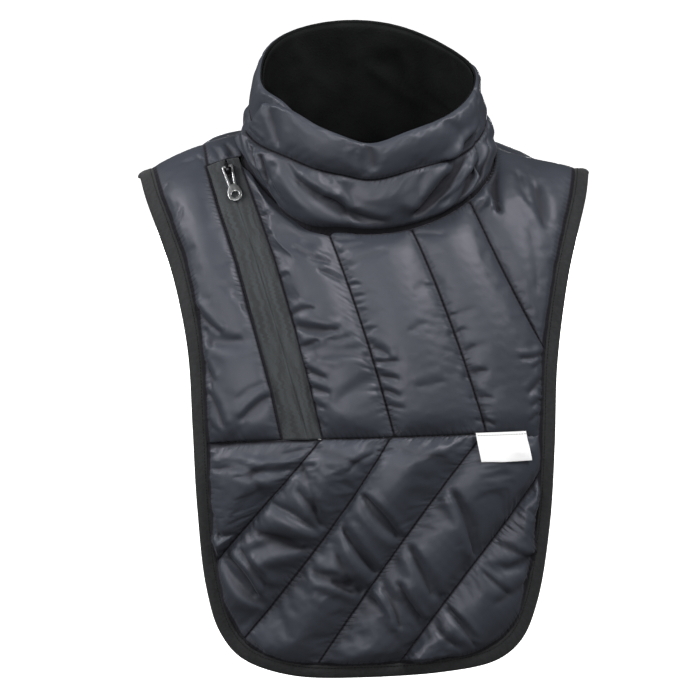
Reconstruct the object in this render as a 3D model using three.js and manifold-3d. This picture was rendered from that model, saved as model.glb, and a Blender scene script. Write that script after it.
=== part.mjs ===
// Quilted neck warmer: a padded stand collar on a bib that lies over the chest, the shoulders and
// the upper back, with a slanting zip on one side of the chest. Everything is in millimetres.
// +Z is up and the wearer faces -Y. The origin is the middle of the neck where the collar starts.
//
// The cloth pieces are drawn flat and then laid on a form of the wearer's trunk. A place on the
// form is x, sideways, and v, the way along the cloth from the top of the shoulder: v grows down
// the chest and is negative down the back.
import * as THREE from 'three';
import Module from 'manifold-3d';

const wasm = await Module();
wasm.setup();

// The wearer's trunk. A round of 0.0015 draws the chest back by 0.0015 x squared.
const TRUNK = {
  crestY: 8, crestTop: 30, crestFall: 0.00135,
  chestY: -137, chestRound: 0.0015, chestPower: 1.65, bustZ: -230, belowBust: 0.03,
  backY: 98, backRound: 0.0011, backPower: 2.6, bladeZ: -150,
};
// Where the shoulders of the cloth sit higher or lower than an even pair.
const SHOULDER_BUNCHES = [
  { x: -190, spread: 30, rise: 3 },
  { x: -126, spread: 52, rise: 7.5 },
  { x: 122, spread: 44, rise: -6 },
  { x: 192, spread: 32, rise: 7 },
];
const PROFILE_STEPS = 90;
const PROFILE_LOWEST = { chest: -470, back: -360 };
const STRAIGHT_STEPS = 24;

// The neck hole, an ellipse seen from above, and the rim of the collar, a tilted one.
const NECK = { halfWidth: 102, halfDepth: 72, y: -4 };
// The shoulder seams meet the neck hole this far round it from its front.
const NECK_SIDE_ANGLE = 107;
const RIM = { halfWidth: 84.5, halfDepth: 72, y: -16, z: 77, tilt: 30, backShift: -11 };
const RIM_WAVES = [
  { angle: 0, spread: 16, rise: -8 },
  { angle: -46, spread: 24, rise: 10 },
  { angle: 125, spread: 28, rise: -2.5 },
];

// Cloth thicknesses: at a seam, and at the middle of a wide padded channel.
const SEAM = 3;
const PUFF = 9;
const WIDE_CHANNEL = 55;
const GAP = 0.35;

// The outer edge of the bib, from the left shoulder seam round the hem to the right one.
const FRONT_EDGE = [
  { x: -187, v: -12 }, { x: -179, v: 28 }, { x: -166, v: 72 }, { x: -154.5, v: 112 },
  { x: -142, v: 178 }, { x: -138, v: 243 }, { x: -135, v: 308 }, { x: -129, v: 375 },
  { x: -118, v: 419 }, { x: -99, v: 447 }, { x: -58, v: 467 }, { x: 0, v: 472 },
  { x: 55, v: 463 }, { x: 98, v: 441 }, { x: 122, v: 413 }, { x: 135, v: 375 },
  { x: 144, v: 308 }, { x: 147, v: 240 }, { x: 149, v: 176 }, { x: 158, v: 108 },
  { x: 166.5, v: 68 }, { x: 175.5, v: 28 }, { x: 180.5, v: -12 },
];
const BACK_EDGE = [
  { x: -187, v: -12 }, { x: -176, v: -50 }, { x: -160, v: -104 }, { x: -150, v: -150 },
  { x: -144, v: -190 }, { x: -126, v: -222 }, { x: -80, v: -238 }, { x: 0, v: -243 },
  { x: 78, v: -238 }, { x: 122, v: -222 }, { x: 140, v: -190 }, { x: 147, v: -150 },
  { x: 157, v: -104 }, { x: 172, v: -50 }, { x: 180.5, v: -12 },
];
const SHOULDER_SEAM_V = -12;
const EDGE_STEPS = 260;

// The deepest creases of the padded channels: a valley from one place of the cloth to another.
const CREASES = [
  { x: -53, v: 204, toX: -7, toV: 205, width: 7, depth: 3.2 },
  { x: -56, v: 182, toX: -33, toV: 191, width: 6, depth: 2.4 },
  { x: -49, v: 224, toX: -36, toV: 233, width: 6, depth: 2.4 },
  { x: -18, v: 240, toX: 13, toV: 228, width: 7, depth: 2.6 },
  { x: 127, v: 24, toX: 136, toV: 62, width: 9, depth: 2.6 },
  { x: 103, v: 16, toX: 103, toV: 72, width: 8, depth: 4 },
  { x: -124, v: 172, toX: -96, toV: 191, width: 8, depth: 3 },
  { x: -97, v: 246, toX: -75, toV: 231, width: 7, depth: 2.6 },
  { x: -100, v: 281, toX: -59, toV: 294, width: 8, depth: 2.6 },
  { x: -89, v: 354, toX: -53, toV: 352, width: 9, depth: 3.4 },
  { x: -110, v: 361, toX: -84, toV: 398, width: 7, depth: 3 },
  { x: -78, v: 318, toX: -44, toV: 340, width: 6, depth: 2.6 },
  { x: -14, v: 347, toX: 3, toV: 377, width: 7, depth: 3 },
  { x: -2, v: 322, toX: 22, toV: 351, width: 7, depth: 3 },
  { x: -38, v: 379, toX: -3, toV: 397, width: 7, depth: 2.6 },
  { x: 12, v: 392, toX: 31, toV: 424, width: 7, depth: 3 },
  { x: 34, v: 362, toX: 61, toV: 406, width: 8, depth: 3.2 },
  { x: 67, v: 312, toX: 83, toV: 347, width: 7, depth: 2.6 },
  { x: 63, v: 409, toX: 82, toV: 420, width: 6, depth: 2.4 },
  { x: 108, v: 354, toX: 132, toV: 336, width: 7, depth: 2.4 },
];
// The same on the collar: places are angles round the neck and shares of the way up.
const COLLAR_CREASES = [
  { angle: 0, up: 0.88, toAngle: -2, toUp: 0.7, width: 8, depth: 2.4 },
  { angle: -36, up: 0.45, toAngle: -4, toUp: 0.15, width: 9, depth: 3.4 },
  { angle: 66, up: 0.44, toAngle: 34, toUp: 0.14, width: 7, depth: 3.4 },
  { angle: -78, up: 0.42, toAngle: -64, toUp: 0.12, width: 7, depth: 2.8 },
];
const COLLAR_TURN_LENGTH = 1.5, COLLAR_HEIGHT = 84;

// The tape that binds the outer edge.
const BINDING = { width: 11, inside: -0.8, outside: 3.9, bevel: 1.6, gap: 0.6 };

// The level seam between the chest and the lower panel, measured down from the origin.
const LEVEL_SEAM = { drop: 190, sag: 5, tilt: -3.6, at: 130 };

// Quilting lines of the chest: from an angle on the neck hole to a place on the level seam. Bow
// is how far the middle of a line stands to the right of the straight way.
const CHEST_LINES = [
  { neckAngle: -18.5, seamX: 20.3, bow: 2 },
  { neckAngle: 19.2, seamX: 92, bow: 2 },
];
// The last chest line runs from the neck hole out to the arm side.
const ARM_LINE = { neckAngle: 51, lean: 0.61, bow: -3.5 };
// Quilting lines of the lower panel: where each meets the level seam, and its lean, x over v.
const LOWER_LINES = [
  { seamX: -36.5, lean: -0.98, bow: 1.5 },
  { seamX: 17, lean: -0.742, bow: 7.5 },
  { seamX: 89, lean: -0.632, bow: 1.5 },
  { seamX: 157, lean: -0.569, bow: 3.5 },
];
// Quilting lines of the back: from an angle on the neck hole to a place on the back hem.
const BACK_LINES = [
  { neckAngle: -128, hemX: -86 },
  { neckAngle: -158, hemX: -30 },
  { neckAngle: 158, hemX: 30 },
  { neckAngle: 128, hemX: 84 },
];

// The zip: x of the left tape's edge, of the slit and of the right tape's edge, down the cloth.
const ZIP = [
  { v: 30, left: -128, slit: -113.5, right: -105 },
  { v: 75, left: -116.5, slit: -103, right: -91.4 },
  { v: 125, left: -101.7, slit: -87.6, right: -75 },
  { v: 185, left: -86.2, slit: -70.2, right: -58.2 },
  { v: 230, left: -74.2, slit: -57.7, right: -46.7 },
  { v: 272, left: -65.7, slit: -46.3, right: -36.9 },
];
// The cloth between the zip's top and the shoulder seam, from its seam to the neck hole.
const ZIP_GARAGE = { out: 5.35, neckAngle: -78.2, puff: 6 };
const TAPE = { inside: 1.9, outside: 2.9, slitGap: 0.5, partedGap: 4.2, partedTo: 52 };
const CHAIN = { width: 5, inside: 0.3, outside: 1.4 };
const SLIDER = {
  v: 43, length: 12, topWidth: 9.4, lowWidth: 7.4, plate: 1.5, underShare: 0.6, noseWidth: 3,
  bridgeWidth: 2.8, bridgeRise: 5.4, bridgeBar: 1.2, bridgeFrom: 5, bridgeTo: -4,
};
const PULL = {
  pivotAt: 2.3, pivotRise: 3.5, restAngle: 8, thick: 1.3, topWidth: 9.4, leg: 2, slotLength: 19,
  bar: 1.3, eyeAt: 27, eyeRadius: 5.8, holeRadius: 3, waist: 6.6,
};

// The tab that is sewn on over the level seam by its top side.
const TAB = { left: 82, right: 120, aboveSeam: 1.5, height: 20.5, slant: 3.2, lift: 0.5, thick: 0.8 };

// The collar: its roll and its top band, and the flap that laps over on the left.
const COLLAR = {
  rollShare: 0.58, rollShareAtSides: 0.48, rollPuff: 8.5, bandPuff: 5, topEdge: 3,
  flapLow: -85, flapHigh: -70, backTo: 338, seamLow: 54, seamHigh: 76, seamGap: 0.3,
};
// How the flap lies over the layer under it: each runs from nothing to full between two angles.
const LAP = {
  none: -6, full: -28, out: 4.9, outAtRim: 5.2, lift: 6.4, pressed: 0.65,
  shorter: 0.11, shorterNone: -35, shorterFull: -78, flare: 3.5, flareNone: -48, flareFull: -78,
};
const LINING = { outside: -0.5, inside: -2.5, below: 0.02, above: 0.975 };

const rad = THREE.MathUtils.degToRad;
const lerp = THREE.MathUtils.lerp;
const smooth = THREE.MathUtils.smoothstep;

// The trunk form

function crestHeight(x) {
  const bunch = SHOULDER_BUNCHES.reduce(
    (sum, b) => sum + b.rise * Math.exp(-(((x - b.x) / b.spread) ** 2)), 0);
  return TRUNK.crestTop - TRUNK.crestFall * x * x + bunch;
}

// One side of the trunk's outline at x, from the crest down, as points with the way s to each.
function makeProfile(x, side) {
  const onChest = side === 'chest';
  const power = 2 / (onChest ? TRUNK.chestPower : TRUNK.backPower);
  const reach = onChest
    ? TRUNK.chestY + TRUNK.chestRound * x * x - TRUNK.crestY
    : TRUNK.backY - TRUNK.backRound * x * x - TRUNK.crestY;
  const low = onChest ? TRUNK.bustZ : TRUNK.bladeZ;
  const rise = crestHeight(x) - low;
  const points = [];
  for (let i = 0; i <= PROFILE_STEPS; i++) {
    const a = (Math.PI / 2) * (i / PROFILE_STEPS);
    points.push({
      y: TRUNK.crestY + reach * Math.sin(a) ** power,
      z: low + rise * Math.max(Math.cos(a), 0) ** power,
    });
  }
  for (let i = 1; i <= STRAIGHT_STEPS; i++) {
    const z = lerp(low, PROFILE_LOWEST[side], i / STRAIGHT_STEPS);
    const drawnIn = onChest ? TRUNK.belowBust * (low - z) : 0;
    points.push({ y: TRUNK.crestY + reach + drawnIn, z });
  }
  points[0].s = 0;
  for (let i = 1; i < points.length; i++) {
    const a = points[i - 1], b = points[i];
    b.s = a.s + Math.hypot(b.y - a.y, b.z - a.z);
  }
  return points;
}

const profiles = new Map();
function profile(x, side) {
  const key = side + x.toFixed(3);
  if (!profiles.has(key)) profiles.set(key, makeProfile(x, side));
  return profiles.get(key);
}

// The point of the profile where column `by` reaches `value`; the column grows with sign `up`.
function along(points, by, value, up = 1) {
  let low = 0, high = points.length - 1;
  while (high - low > 1) {
    const middle = (low + high) >> 1;
    if (up * points[middle][by] <= up * value) low = middle;
    else high = middle;
  }
  const a = points[low], b = points[high];
  const t = (value - a[by]) / (b[by] - a[by]);
  return { y: lerp(a.y, b.y, t), z: lerp(a.z, b.z, t), s: lerp(a.s, b.s, t) };
}

function onTrunk(x, v) {
  const p = along(profile(x, v >= 0 ? 'chest' : 'back'), 's', Math.abs(v));
  return new THREE.Vector3(x, p.y, p.z);
}

// A point a given height above the form, on its outer side.
function aboveTrunk(x, v, height) {
  const step = 1.5;
  const alongX = onTrunk(x + step, v).sub(onTrunk(x - step, v));
  const alongV = onTrunk(x, v + step).sub(onTrunk(x, v - step));
  const normal = alongV.cross(alongX).normalize();
  return onTrunk(x, v).addScaledVector(normal, height);
}

const vAtDepth = (x, y) => (y <= TRUNK.crestY
  ? along(profile(x, 'chest'), 'y', y, -1).s
  : -along(profile(x, 'back'), 'y', y).s);
const vAtLevel = (x, z) => along(profile(x, 'chest'), 'z', z, -1).s;

// Lines drawn on the flat cloth: every point is { x, v }

const place = (x, v) => ({ x, v });
const between = (a, b, t) => place(lerp(a.x, b.x, t), lerp(a.v, b.v, t));
const range = (n) => Array.from({ length: n + 1 }, (_, i) => i / n);
const straight = (a, b, n) => range(n).map((t) => between(a, b, t));
const bowed = (a, b, bow, n) => straight(a, b, n).map(
  (p, i) => place(p.x + (bow * 4 * i * (n - i)) / (n * n), p.v));
const join = (...lines) => lines.reduce((all, line) => all.concat(line.slice(1)));

function neckPoint(angle) {
  const x = NECK.halfWidth * Math.sin(rad(angle));
  return place(x, vAtDepth(x, NECK.y - NECK.halfDepth * Math.cos(rad(angle))));
}
const neckLine = (from, to, n) => range(n).map((t) => neckPoint(lerp(from, to, t)));

function seamPoint(x, above = 0) {
  const { drop, sag, tilt, at } = LEVEL_SEAM;
  const z = -drop - sag * (x / at) ** 2 - tilt * (x / at);
  return place(x, vAtLevel(x, z) - above);
}
const seamLine = (fromX, toX, n, above) => range(n).map((t) => seamPoint(lerp(fromX, toX, t), above));

function smoothLine(rows, n) {
  const points = rows.map((r) => new THREE.Vector3(r.x, r.v, 0));
  return new THREE.CatmullRomCurve3(points).getSpacedPoints(n).map((p) => place(p.x, p.y));
}

// The same line moved to its left by a distance, where left is seen walking along it.
function inset(line, distance) {
  return line.map((p, i) => {
    const a = line[Math.max(i - 1, 0)], b = line[Math.min(i + 1, line.length - 1)];
    const length = Math.hypot(b.x - a.x, b.v - a.v);
    return place(p.x + (distance * (b.v - a.v)) / length, p.v - (distance * (b.x - a.x)) / length);
  });
}

// Where a ray first crosses a line: the point, and how many of the line's steps it is along.
function crossing(line, from, direction) {
  let best = null;
  for (let i = 0; i + 1 < line.length; i++) {
    const a = line[i], b = line[i + 1];
    const ex = b.x - a.x, ev = b.v - a.v;
    const det = direction.v * ex - direction.x * ev;
    const way = ((a.v - from.v) * ex - (a.x - from.x) * ev) / det;
    const share = (direction.x * (a.v - from.v) - direction.v * (a.x - from.x)) / det;
    if (way > 0 && share >= 0 && share <= 1 && (!best || way < best.way))
      best = { way, at: i + share, point: between(a, b, share) };
  }
  return best;
}

// The stretch of a line between two places on it, cut into n equal steps.
function stretch(line, from, to, n) {
  const pointAt = (at) => {
    const i = Math.min(Math.floor(at), line.length - 2);
    return between(line[i], line[i + 1], at - i);
  };
  return range(n).map((t) => pointAt(lerp(from, to, t)));
}

// Flat pieces: a net of points and triangles, with the cloth's thickness at each point

// A channel's padding from side to side, and from end to end.
const acrossPuff = (s) => Math.sin(Math.PI * s) ** 0.6;
const endPuff = (t, share) => Math.sin((Math.PI / 2) * Math.min(1, Math.min(t, 1 - t) / share));

// How much a list of valleys takes from the padding at a place; each runs from a to b.
function creased(valleys, p) {
  return valleys.reduce((sum, { a, b, width, depth }) => {
    const ex = b.x - a.x, ev = b.v - a.v;
    const toFoot = ((p.x - a.x) * ex + (p.v - a.v) * ev) / (ex * ex + ev * ev);
    const share = THREE.MathUtils.clamp(toFoot, 0, 1);
    const away = Math.hypot(p.x - a.x - share * ex, p.v - a.v - share * ev);
    return sum + depth * Math.exp(-((away / width) ** 2));
  }, 0);
}
const clothValleys = CREASES.map((c) => ({ ...c, a: place(c.x, c.v), b: place(c.toX, c.toV) }));
const onUnrolledCollar = (angle, up) => place(angle * COLLAR_TURN_LENGTH, up * COLLAR_HEIGHT);
const collarValleys = COLLAR_CREASES.map(
  (c) => ({ ...c, a: onUnrolledCollar(c.angle, c.up), b: onUnrolledCollar(c.toAngle, c.toUp) }));

// Channels that share a side share its points, so each side is given as a list of equal count.
// left and right run from top to bottom, and top and bottom from left to right.
function quilt(channels) {
  const net = { points: [], triangles: [] };
  const known = new Map();
  const add = (p, thick) => {
    const key = `${p.x.toFixed(3)} ${p.v.toFixed(3)}`;
    if (!known.has(key)) {
      known.set(key, net.points.length);
      net.points.push({ ...p, thick });
    }
    const i = known.get(key);
    net.points[i].thick = Math.min(net.points[i].thick, thick);
    return i;
  };
  for (const { left, right, top, bottom, puff = PUFF } of channels) {
    const down = left.length - 1, across = top.length - 1;
    const length = Math.hypot(
      between(bottom[0], bottom[across], 0.5).x - between(top[0], top[across], 0.5).x,
      between(bottom[0], bottom[across], 0.5).v - between(top[0], top[across], 0.5).v);
    const rows = range(down).map((t, j) => {
      const width = Math.hypot(right[j].x - left[j].x, right[j].v - left[j].v);
      const full = puff * Math.min(1, width / WIDE_CHANNEL) ** 0.6;
      return range(across).map((s, i) => {
        const blend = (c) => (1 - s) * left[j][c] + s * right[j][c] + (1 - t) * top[i][c] + t * bottom[i][c]
          - (1 - s) * (1 - t) * top[0][c] - s * (1 - t) * top[across][c]
          - (1 - s) * t * bottom[0][c] - s * t * bottom[across][c];
        const share = Math.min(0.35, 22 / length);
        const at = place(blend('x'), blend('v'));
        const padding = Math.max(0, full - SEAM) * acrossPuff(s) * endPuff(t, share);
        return add(at, SEAM + Math.max(padding - creased(clothValleys, at), 0.12 * padding));
      });
    });
    for (let j = 0; j < down; j++)
      for (let i = 0; i < across; i++)
        net.triangles.push(
          [rows[j][i], rows[j + 1][i], rows[j][i + 1]],
          [rows[j][i + 1], rows[j + 1][i], rows[j + 1][i + 1]]);
  }
  net.triangles = net.triangles.filter(([a, b, c]) => a !== b && b !== c && c !== a);
  net.triangles = net.triangles.map(([a, b, c]) => {
    const [p, q, r] = [a, b, c].map((i) => net.points[i]);
    const turn = (q.x - p.x) * (r.v - p.v) - (q.v - p.v) * (r.x - p.x);
    return turn > 0 ? [a, c, b] : [a, b, c];
  });
  return net;
}

// A closed wall from a net: an outer face, an inner face and a wall along every open side.
function wall(net, outer, inner) {
  const n = net.points.length;
  const corners = [...net.points.map(outer), ...net.points.map(inner)];
  const faces = net.triangles.flatMap(([a, b, c]) => [[a, b, c], [n + a, n + c, n + b]]);
  const sides = new Map();
  for (const [a, b, c] of net.triangles)
    for (const [p, q] of [[a, b], [b, c], [c, a]]) sides.set(`${p} ${q}`, [p, q]);
  for (const [p, q] of sides.values())
    if (!sides.has(`${q} ${p}`)) faces.push([q, p, n + p], [q, n + p, n + q]);
  const geometry = new THREE.BufferGeometry();
  geometry.setAttribute('position',
    new THREE.Float32BufferAttribute(corners.flatMap((p) => [p.x, p.y, p.z]), 3));
  geometry.setIndex(faces.flat());
  return geometry;
}

const onForm = (net) => wall(net,
  (p) => aboveTrunk(p.x, p.v, p.thick), (p) => aboveTrunk(p.x, p.v, 0));

// A rectangular net over u and w, closed into a ring if asked.
function ringNet(fromU, toU, acrossU, levels, closed = false) {
  const net = { points: [], triangles: [] };
  const columns = closed ? acrossU : acrossU + 1;
  for (let i = 0; i < columns; i++)
    for (const w of levels) net.points.push({ u: lerp(fromU, toU, i / acrossU), w });
  const rows = levels.length;
  const at = (i, j) => (i % columns) * rows + j;
  for (let i = 0; i < acrossU; i++)
    for (let j = 0; j + 1 < rows; j++)
      net.triangles.push(
        [at(i, j), at(i + 1, j), at(i, j + 1)],
        [at(i + 1, j), at(i + 1, j + 1), at(i, j + 1)]);
  return net;
}

// The flat pieces' outlines

const frontEdge = smoothLine(FRONT_EDGE, EDGE_STEPS);
const backEdge = smoothLine(BACK_EDGE, EDGE_STEPS);
const frontCloth = inset(frontEdge, BINDING.width + BINDING.gap);
const backCloth = inset(backEdge, -BINDING.width - BINDING.gap);
const zipAt = (column) => (v) => {
  const below = ZIP.findIndex((r) => r.v > v);
  const k = below < 0 ? ZIP.length - 1 : Math.max(below, 1);
  const a = ZIP[k - 1], b = ZIP[k];
  return lerp(a[column], b[column], (v - a.v) / (b.v - a.v));
};

// Down a zip edge, from its top to the level seam.
function zipSide(column, shift, fromV, n) {
  const xAt = zipAt(column);
  const nearEnd = seamPoint(xAt(ZIP.at(-1).v) + shift, GAP);
  const end = seamPoint(xAt(nearEnd.v) + shift, GAP);
  return range(n).map((t) => place(xAt(lerp(fromV, end.v, t)) + shift, lerp(fromV, end.v, t)));
}

const leftSeamEnd = crossing(frontCloth, seamPoint(-100, GAP), place(-1, -0.12));
const rightSeamEnd = crossing(frontCloth, seamPoint(100, GAP), place(1, -0.18));
const seamAt = (end, above) => ({ ...end, point: place(end.point.x, seamPoint(end.point.x, above).v) });

function sidePanel() {
  const downs = 20;
  const zipTop = ZIP[0].v - GAP;
  const end = seamAt(leftSeamEnd, GAP);
  const top = place(zipAt('left')(ZIP[0].v) - ZIP_GARAGE.out, SHOULDER_SEAM_V + GAP);
  const tapeTop = place(zipAt('left')(ZIP[0].v) - GAP, zipTop);
  const topRows = 3;
  const right = join(straight(top, tapeTop, topRows), zipSide('left', -GAP, zipTop, downs - topRows));
  const left = stretch(frontCloth, 0, end.at, downs);
  left[0] = place(left[0].x, SHOULDER_SEAM_V + GAP);
  left[downs] = end.point;
  const wide = 6;
  const main = {
    left, right,
    top: straight(left[0], right[0], wide),
    bottom: seamLine(end.point.x, right.at(-1).x, wide, GAP),
  };
  const garageWide = 4;
  const neckSide = neckLine(-NECK_SIDE_ANGLE, ZIP_GARAGE.neckAngle, topRows);
  neckSide[0] = place(neckSide[0].x, SHOULDER_SEAM_V + GAP);
  const garage = {
    left: straight(top, tapeTop, topRows), right: neckSide, puff: ZIP_GARAGE.puff,
    top: straight(top, neckSide[0], garageWide),
    bottom: straight(tapeTop, neckSide.at(-1), garageWide),
  };
  return onForm(quilt([main, garage]));
}

function chestPanel() {
  const toArm = 11, toSeam = 6, downs = toArm + toSeam, wide = 5;
  const cornerV = ZIP[0].v + 6;
  const corner = place(zipAt('right')(cornerV) + GAP, cornerV);
  const neckStart = -66;
  const [one, two] = CHEST_LINES.map(
    (l) => bowed(neckPoint(l.neckAngle), seamPoint(l.seamX, GAP), l.bow, downs));
  const armStart = neckPoint(ARM_LINE.neckAngle);
  const armEnd = crossing(frontCloth, armStart, place(ARM_LINE.lean, 1));
  const seamEnd = seamAt(rightSeamEnd, GAP);
  const armLine = bowed(armStart, armEnd.point, ARM_LINE.bow, toArm);
  const armToSeam = stretch(frontCloth, armEnd.at, seamEnd.at, toSeam);
  armToSeam[toSeam] = seamEnd.point;
  const zip = zipSide('right', GAP, corner.v, downs);
  const alongNeck = neckLine(neckStart, CHEST_LINES[0].neckAngle, wide - 1);
  const nearZip = {
    left: zip, right: one, bottom: seamLine(zip.at(-1).x, one.at(-1).x, wide, GAP),
    top: join(straight(corner, neckPoint(neckStart), 1), alongNeck),
  };
  const middle = {
    left: one, right: two, bottom: seamLine(one.at(-1).x, two.at(-1).x, wide, GAP),
    top: neckLine(CHEST_LINES[0].neckAngle, CHEST_LINES[1].neckAngle, wide),
  };
  const nearArm = {
    left: two, right: join(armLine, armToSeam), bottom: seamLine(two.at(-1).x, seamEnd.point.x, wide, GAP),
    top: neckLine(CHEST_LINES[1].neckAngle, ARM_LINE.neckAngle, wide),
  };
  // Round the side of the neck: from the shoulder seam to the arm line.
  const aroundNeck = 5;
  const neckSide = neckLine(NECK_SIDE_ANGLE, ARM_LINE.neckAngle, aroundNeck);
  neckSide[0] = place(neckSide[0].x, SHOULDER_SEAM_V + GAP);
  const armSide = stretch(frontCloth, frontCloth.length - 1, armEnd.at, aroundNeck + toArm);
  armSide[0] = place(armSide[0].x, SHOULDER_SEAM_V + GAP);
  const shoulder = {
    left: join(neckSide, armLine), right: armSide,
    top: straight(neckSide[0], armSide[0], wide), bottom: range(wide).map(() => armEnd.point),
  };
  return onForm(quilt([nearZip, middle, nearArm, shoulder]));
}

function lowerPanel() {
  const downs = 13, wide = 5;
  const lines = LOWER_LINES.map((l) => {
    const start = seamPoint(l.seamX, -GAP);
    const bottom = crossing(frontCloth, place(start.x + 55 * l.lean, start.v + 55), place(l.lean, 1));
    return { start, bottom, bow: l.bow };
  });
  const right = seamAt(rightSeamEnd, -GAP), left = seamAt(leftSeamEnd, -GAP);
  const last = lines[3];
  const upwards = place(-LOWER_LINES[3].lean, -1);
  last.top = crossing(frontCloth, between(last.bottom.point, last.start, 0.3), upwards);
  const diagonals = lines.map(
    (l) => bowed(l.top ? l.top.point : l.start, l.bottom.point, l.bow, downs));
  const channelAfter = (k, top) => ({
    left: diagonals[k], right: diagonals[k + 1], top,
    bottom: stretch(frontCloth, lines[k].bottom.at, lines[k + 1].bottom.at, wide),
  });
  const leftSide = stretch(frontCloth, left.at, lines[0].bottom.at, downs);
  leftSide[0] = left.point;
  const corner = {
    left: leftSide, right: diagonals[0], top: seamLine(left.point.x, lines[0].start.x, wide, -GAP),
    bottom: range(wide).map(() => lines[0].bottom.point),
  };
  const downRight = stretch(frontCloth, right.at, last.top.at, 2);
  downRight[0] = right.point;
  const outer = {
    left: diagonals[3], right: stretch(frontCloth, last.top.at, last.bottom.at, downs),
    top: range(wide).map(() => last.top.point), bottom: range(wide).map(() => last.bottom.point),
  };
  return onForm(quilt([
    corner,
    channelAfter(0, seamLine(lines[0].start.x, lines[1].start.x, wide, -GAP)),
    channelAfter(1, seamLine(lines[1].start.x, lines[2].start.x, wide, -GAP)),
    channelAfter(2, join(seamLine(lines[2].start.x, right.point.x, wide - 2, -GAP), downRight)),
    outer,
  ]));
}

function backPanel() {
  const downs = 13, wide = 5, aroundNeck = 2;
  const lines = BACK_LINES.map((l) => {
    const start = neckPoint(l.neckAngle);
    const toHem = place(l.hemX - start.x, -300 - start.v);
    return { start, end: crossing(backCloth, start, toHem) };
  });
  const rails = lines.map((l) => straight(l.start, l.end.point, downs));
  const sides = [-1, 1].map((sign) => {
    const line = sign < 0 ? 0 : 3;
    const corner = crossing(backCloth, place(0, -150), place(sign, -0.5)).at;
    const armSide = stretch(backCloth, sign < 0 ? 0 : backCloth.length - 1, corner, downs);
    armSide[0] = place(armSide[0].x, SHOULDER_SEAM_V - GAP);
    const neckSide = neckLine(sign * NECK_SIDE_ANGLE, BACK_LINES[line].neckAngle, aroundNeck);
    neckSide[0] = place(neckSide[0].x, SHOULDER_SEAM_V - GAP);
    const top = join(straight(armSide[0], neckSide[0], wide - aroundNeck), neckSide);
    const bottom = stretch(backCloth, corner, lines[line].end.at, wide);
    return { left: armSide, right: rails[line], top, bottom };
  });
  const middle = [0, 1, 2].map((k) => {
    const from = BACK_LINES[k].neckAngle, to = BACK_LINES[k + 1].neckAngle;
    return {
      left: rails[k], right: rails[k + 1],
      top: neckLine(from, to < from ? to : to - 360, wide),
      bottom: stretch(backCloth, lines[k].end.at, lines[k + 1].end.at, wide),
    };
  });
  return onForm(quilt([...sides, ...middle]));
}

// A strip of constant section laid along a line of the cloth, with its two ends cut level. The
// section's corners are { across, up }, listed anticlockwise as seen walking along the line.
function strip(line, section) {
  const n = section.length;
  const corners = line.flatMap((p, i) => {
    const a = line[Math.max(i - 1, 0)], b = line[Math.min(i + 1, line.length - 1)];
    const length = Math.hypot(b.x - a.x, b.v - a.v);
    const atEnd = i === 0 || i === line.length - 1;
    const side = atEnd
      ? place(Math.sign(b.v - a.v), 0)
      : place((b.v - a.v) / length, -(b.x - a.x) / length);
    return section.map((c) => aboveTrunk(p.x + side.x * c.across, p.v + side.v * c.across, c.up));
  });
  const faces = [];
  for (let i = 0; i + 1 < line.length; i++)
    for (let j = 0; j < n; j++) {
      const a = i * n + j, b = i * n + ((j + 1) % n);
      faces.push([a, b, a + n], [b, b + n, a + n]);
    }
  const last = (line.length - 1) * n;
  for (let j = 1; j + 1 < n; j++) faces.push([0, j + 1, j], [last, last + j, last + j + 1]);
  const geometry = new THREE.BufferGeometry();
  geometry.setAttribute('position',
    new THREE.Float32BufferAttribute(corners.flatMap((p) => [p.x, p.y, p.z]), 3));
  geometry.setIndex(faces.flat());
  return geometry;
}

function bindingSection() {
  const { width, inside, outside, bevel } = BINDING;
  return [
    { across: 0, up: inside + bevel }, { across: bevel, up: inside },
    { across: width - bevel, up: inside }, { across: width, up: inside + bevel },
    { across: width, up: outside - bevel }, { across: width - bevel, up: outside },
    { across: bevel, up: outside }, { across: 0, up: outside - bevel },
  ];
}

function binding(edge, steps, sign) {
  const line = stretch(edge, 0, edge.length - 1, steps);
  line[0] = place(line[0].x, SHOULDER_SEAM_V + sign * GAP);
  line[steps] = place(line[steps].x, SHOULDER_SEAM_V + sign * GAP);
  return strip(sign > 0 ? line : line.reverse(), bindingSection());
}

// The collar

function collarBase(angle, out, lift) {
  const x = (NECK.halfWidth + out) * Math.sin(rad(angle));
  const y = NECK.y - (NECK.halfDepth + out) * Math.cos(rad(angle));
  return aboveTrunk(x, vAtDepth(x, y), lift);
}

const turnBetween = (a, b) => Math.abs(((a - b + 900) % 360) - 180);

function collarRim(angle, out) {
  const across = (RIM.halfWidth + out) * Math.sin(rad(angle));
  const forward = (RIM.halfDepth + out) * Math.cos(rad(angle));
  const wave = RIM_WAVES.reduce(
    (sum, w) => sum + w.rise * Math.exp(-((turnBetween(angle, w.angle) / w.spread) ** 2)), 0);
  return new THREE.Vector3(
    across + RIM.backShift * smooth(-Math.cos(rad(angle)), 0, 1),
    RIM.y - forward * Math.cos(rad(RIM.tilt)),
    RIM.z - forward * Math.sin(rad(RIM.tilt)) + wave);
}

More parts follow.
